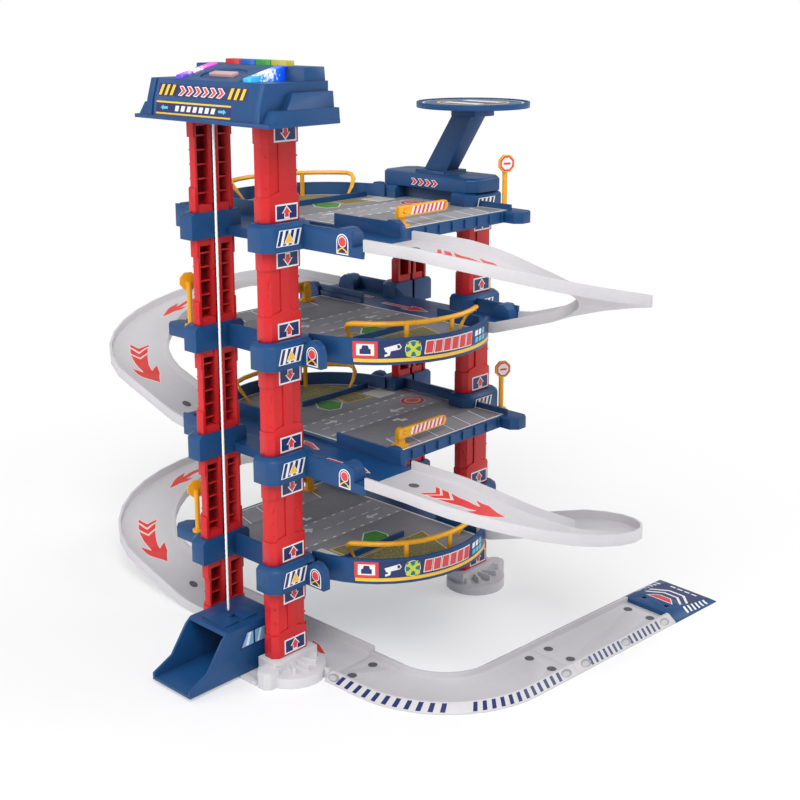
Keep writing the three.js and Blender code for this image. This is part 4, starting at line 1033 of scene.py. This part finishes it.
def block(name, body, seat, outline, bottom, top, material, edge):
    """Upright piece between two heights of a seat."""
    build = bmesh.new()
    low = [build.verts.new(seat(u, v, bottom)) for u, v in outline]
    high = [build.verts.new(seat(u, v, top)) for u, v in outline]
    build.faces.new(low[::-1])
    build.faces.new(high)
    for i in range(len(outline)):
        after = (i + 1) % len(outline)
        build.faces.new((low[i], low[after], high[after], high[i]))
    mesh = bpy.data.meshes.new(name)
    build.to_mesh(mesh)
    build.free()
    mesh.materials.append(material)
    obj = bpy.data.objects.new(name, mesh)
    scene.collection.objects.link(obj)
    dress(obj, edge)
    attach(obj, body)


slope = Vector((SADDLE_SLOPE[0], 0, SADDLE_SLOPE[1])).normalized()
dish = plane((DISH_CENTRE[0], ROOF_MIDDLE, DISH_CENTRE[1]), (0, -1, 0), slope)
badge = rect(-BADGE_HALF_WIDTH, -BADGE_HALF_DEPTH, BADGE_HALF_WIDTH, BADGE_HALF_DEPTH)
block("badge_plate", "garage", dish, badge, -BADGE_SUNK, BADGE_HEIGHT, MATERIALS["badge"], BADGE_EDGE)

# Lift cab: slanted window stickers on both sides
CAB_SIDE = 24.75
window = [(-38, 26), (-30, 40.6), (-8, 40.6), (-8, 26)]
panes = [
    [(-35.4, 27.6), (-29.0, 39.2), (-22.6, 39.2), (-22.6, 27.6)],
    [(-20.6, 27.6), (-20.6, 39.2), (-10, 39.2), (-10, 27.6)],
]
glints = [slanted(-31, 28, -28, 38.8, 3.5), slanted(-18.6, 28, -16.4, 38.8, 3.2)]
cab_layers = [("navy", [window]), ("glass", panes), ("white", glints)]
for facing, side in ((1, "right"), (-1, "left")):
    face = plane((0, ROOF_MIDDLE - facing * CAB_SIDE, 0), (facing, 0, 0), (0, 0, 1))
    layers = [(key, [flipped(outline, facing) for outline in outlines]) for key, outlines in cab_layers]
    film("cab_window_" + side, "lift", face, layers)

# Barrier arms: slanted red and white bars on both faces
GATE_PIVOT = (98.0, 23.3)
ARM_FACES = (44.55, 41.55)
ARM_FROM = 7.0
ARM_BARS = 8
ARM_BAR_PITCH = 5.2
ARM_BAR_HALF = 3.2
ARM_BAR_LEAN = 2.6

for level in LEVELS:
    even = level % 2 == 0
    facing = 1 if even else -1
    x = GATE_PIVOT[0] if even else BAY_LENGTH - GATE_PIVOT[0]
    for number, reach in enumerate(ARM_FACES):
        y = -reach if even else BAY_WIDTH + reach
        way = facing if number == 0 else -facing
        face = plane((x, y, level_z(level) + GATE_PIVOT[1]), (way, 0, 0), (0, 0, 1))
        layers = []
        width = ARM_BAR_PITCH / 2
        for key, start in (("white", ARM_FROM), ("red", ARM_FROM + width)):
            bars = row(start, ARM_BAR_PITCH, width, ARM_BARS, -ARM_BAR_HALF, ARM_BAR_HALF, ARM_BAR_LEAN)
            layers.append((key, [flipped(bar, way * facing) for bar in bars]))
        film("barrier_bars_%d_%d" % (level, number + 1), "barrier_%d" % level, face, layers)

# Signs: a white face with a red bar, in a red rim of eight sides
SIGN_PLACE = (DECK_END + 5.6, -37.0)
SIGN_LEAN = math.radians(-23)
SIGN_HEIGHT = 50.3
SIGN_FACE = 3.6
SIGN_RIM = 7.2
SIGN_WHITE = 5.6
SIGN_CORNERS = (22.5, 337.5, 7)  # first and last in degrees, and steps between them
SIGN_BAR = (-3.4, -0.9, 3.4, 0.9)

for level in LEVELS:
    even = level % 2 == 0
    x, y = SIGN_PLACE if even else (BAY_LENGTH - SIGN_PLACE[0], BAY_WIDTH - SIGN_PLACE[1])
    turn = SIGN_LEAN + (0 if even else math.pi)
    along = Vector((math.cos(turn), math.sin(turn), 0))
    out = Vector((math.sin(turn), -math.cos(turn), 0))
    face = plane(Vector((x, y, level_z(level) + SIGN_HEIGHT)) + out * SIGN_FACE, along, (0, 0, 1))
    rings = [arc(0, 0, radius, radius, *SIGN_CORNERS) for radius in (SIGN_RIM, SIGN_WHITE)]
    bar = rect(*SIGN_BAR)
    film("sign_face_%d" % level, "garage", face, [("red", rings[:1]), ("white", rings[1:]), ("red", [bar])])

# Helipad: chevrons on the bridge and a landing ring on the round deck
BRIDGE_BOTTOM = 387.3
BRIDGE_FACE = BAY_LENGTH - 23
PAD_RISE = 75.7
PAD_PRINT = 4.0
PAD_CENTRE = (BAY_LENGTH - 2, ROOF_MIDDLE - 40)
PAD_TOP = BRIDGE_BOTTOM + PAD_RISE + PAD_PRINT
PAD_OUTER_RING = (46, 44.4)
PAD_INNER_RING = (33, 30.6)
PAD_BARS = ((-20, -21, -9, 21), (9, -21, 20, 21))
BRIDGE_MARKS = (-16, 8.4, 2.4, 4)  # start, pitch, bottom and count
BRIDGE_MARK_SHARE = 0.85
BRIDGE_MARK_EDGE = 0.7
face = plane((BRIDGE_FACE, ROOF_MIDDLE, BRIDGE_BOTTOM), (0, -1, 0), (0, 0, 1))
chevrons = mark_row(*BRIDGE_MARKS, BRIDGE_MARK_SHARE)
edges = [grown(mark, BRIDGE_MARK_EDGE) for mark in chevrons]
film("bridge_chevrons", "garage", face, [("white", edges), ("red", chevrons)])
outer_ring = [[oval(0, 0, radius, radius, 48)] for radius in PAD_OUTER_RING]
inner_ring = [[oval(0, 0, radius, radius, 40)] for radius in PAD_INNER_RING]
pad = [
    ("white", outer_ring[0]),
    ("pad", outer_ring[1]),
    ("yellow", inner_ring[0]),
    ("pad", inner_ring[1]),
    ("white", [rect(*bar) for bar in PAD_BARS]),
]
film("landing_ring", "garage", plane((*PAD_CENTRE, PAD_TOP), (1, 0, 0), (0, 1, 0)), pad)

# Cap on top of the leaning strut, under the round deck
CAP_GAP = 0.1
CAP_CENTRE = (BAY_LENGTH - 2, 3.2, BRIDGE_BOTTOM + PAD_RISE - CAP_GAP)
CAP_HALF = 14.0
CAP_DEPTH = 8.0
CAP_EDGE = 0.6
cap_seat = plane(CAP_CENTRE, (1, 0, 0), (0, 1, 0))
cap = rect(-CAP_HALF, -CAP_HALF, CAP_HALF, CAP_HALF)
block("strut_cap", "garage", cap_seat, cap, -CAP_DEPTH, 0, MATERIALS["blue"], CAP_EDGE)


# Lift string: a twisted cord of fixed length, from the cab up to the drum
STRING_X = -28.5
STRING_RADIUS = 1.1
STRING_STRANDS = 3
STRING_SIDES = 18
STRING_TWIST = 14.0  # millimetres for one turn
STRING_LOW = 51.5
STRING_STEP = 2.0
STRING_HOLLOW_SHARE = 0.72


def string_mesh():
    """Cord of twisted strands, from the cab up to the drum."""
    build = bmesh.new()
    steps = math.ceil((DRUM_Z - STRING_LOW) / STRING_STEP)
    rings = []
    for level in range(steps + 1):
        z = STRING_LOW + (DRUM_Z - STRING_LOW) * level / steps
        ring = []
        for i in range(STRING_SIDES):
            angle = 2 * math.pi * i / STRING_SIDES
            lobe = abs(math.cos(STRING_STRANDS / 2 * (angle - 2 * math.pi * z / STRING_TWIST)))
            reach = STRING_RADIUS * (STRING_HOLLOW_SHARE + (1 - STRING_HOLLOW_SHARE) * lobe)
            ring.append(build.verts.new((reach * math.cos(angle), reach * math.sin(angle), z)))
        rings.append(ring)
    for low, high in zip(rings, rings[1:]):
        for i in range(STRING_SIDES):
            after = (i + 1) % STRING_SIDES
            build.faces.new((low[i], low[after], high[after], high[i]))
    build.faces.new(rings[0][::-1])
    build.faces.new(rings[-1])
    for vertex in build.verts:
        vertex.co = (vertex.co + Vector((STRING_X, ROOF_MIDDLE, 0))) * MM
    mesh = bpy.data.meshes.new("lift_cord")
    build.to_mesh(mesh)
    build.free()
    for polygon in mesh.polygons:
        polygon.use_smooth = len(polygon.vertices) == 4
    mesh.materials.append(MATERIALS["string"])
    return mesh


lift_cord = bpy.data.objects.new("lift_cord", string_mesh())
scene.collection.objects.link(lift_cord)
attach(lift_cord, "garage")
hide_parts("lift_string")
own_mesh(lift_cord)

# Floor and light
FLOOR_GLOW = 0.4
FLOOR_MIDDLE = (0.12, 0.03, 0)
FLOOR_NEAR = 0.36
FLOOR_FAR = 0.8


def white_from_afar(material, near, far):
    """Turns a floor white away from the object, where its shadow has ended."""
    tree = material.node_tree
    output = next(node for node in tree.nodes if node.type == "OUTPUT_MATERIAL")
    shader = tree.nodes["Principled BSDF"]
    geometry = tree.nodes.new("ShaderNodeNewGeometry")
    distance = tree.nodes.new("ShaderNodeVectorMath")
    distance.operation = "DISTANCE"
    distance.inputs[1].default_value = FLOOR_MIDDLE
    tree.links.new(geometry.outputs["Position"], distance.inputs[0])
    ramp = tree.nodes.new("ShaderNodeMapRange")
    ramp.interpolation_type = "SMOOTHSTEP"
    ramp.inputs["From Min"].default_value = near
    ramp.inputs["From Max"].default_value = far
    ramp.inputs["To Min"].default_value = FLOOR_GLOW
    tree.links.new(distance.outputs["Value"], ramp.inputs["Value"])
    glow = tree.nodes.new("ShaderNodeEmission")
    mix = tree.nodes.new("ShaderNodeMixShader")
    path = tree.nodes.new("ShaderNodeLightPath")
    seen = tree.nodes.new("ShaderNodeMath")
    seen.operation = "ADD"
    seen.use_clamp = True
    tree.links.new(path.outputs["Is Camera Ray"], seen.inputs[0])
    tree.links.new(path.outputs["Is Glossy Ray"], seen.inputs[1])
    share = tree.nodes.new("ShaderNodeMath")
    share.operation = "MULTIPLY"
    tree.links.new(ramp.outputs["Result"], share.inputs[0])
    tree.links.new(seen.outputs[0], share.inputs[1])
    tree.links.new(share.outputs[0], mix.inputs[0])
    tree.links.new(shader.outputs[0], mix.inputs[1])
    tree.links.new(glow.outputs[0], mix.inputs[2])
    tree.links.new(mix.outputs[0], output.inputs["Surface"])


def floor_material():
    """Pale matt floor."""
    n = Nodes("floor")
    n.shader.inputs["Base Color"].default_value = (*linear((248, 248, 249)), 1)
    n.shader.inputs["Roughness"].default_value = 0.9
    white_from_afar(n.material, FLOOR_NEAR, FLOOR_FAR)
    return n.material


def sheet_mesh(name, corners):
    """Flat sheet of one face."""
    mesh = bpy.data.meshes.new(name)
    mesh.from_pydata(corners, [], [list(range(len(corners)))])
    obj = bpy.data.objects.new(name, mesh)
    scene.collection.objects.link(obj)
    return obj


FLOOR_REACH = 12
corners = [(x * FLOOR_REACH, y * FLOOR_REACH, 0) for x, y in rect(-1, -1, 1, 1)]
floor = sheet_mesh("floor", corners)
floor.data.materials.append(floor_material())


def lamp(name, place, target, size, power):
    """Round area lamp aimed at a target."""
    data = bpy.data.lights.new(name, "AREA")
    data.shape = "DISK"
    data.size = size
    data.energy = power
    obj = bpy.data.objects.new(name, data)
    scene.collection.objects.link(obj)
    obj.location = place
    direction = Vector(target) - Vector(place)
    obj.rotation_euler = direction.to_track_quat("-Z", "Y").to_euler()


MIDDLE = (0.12, 0.02, 0.2)
lamp("key", (-1.2, -1.3, 2.2), MIDDLE, 1.8, 50)
lamp("fill", (-1.9, 1.0, 1.2), MIDDLE, 1.6, 14)
lamp("back", (1.9, -0.9, 1.6), MIDDLE, 1.6, 16)

SKY_STRENGTH = 0.5
world = bpy.data.worlds.new("world")
scene.world = world
world.use_nodes = True
sky_tree = world.node_tree
sky = sky_tree.nodes["Background"]
sky.inputs["Color"].default_value = (1, 1, 1, 1)
path = sky_tree.nodes.new("ShaderNodeLightPath")
seen = sky_tree.nodes.new("ShaderNodeMath")
seen.operation = "MAXIMUM"
sky_tree.links.new(path.outputs["Is Camera Ray"], seen.inputs[0])
sky_tree.links.new(path.outputs["Is Transmission Ray"], seen.inputs[1])
strength = sky_tree.nodes.new("ShaderNodeMapRange")
strength.inputs["To Min"].default_value = SKY_STRENGTH
sky_tree.links.new(seen.outputs[0], strength.inputs["Value"])
sky_tree.links.new(strength.outputs["Result"], sky.inputs["Strength"])
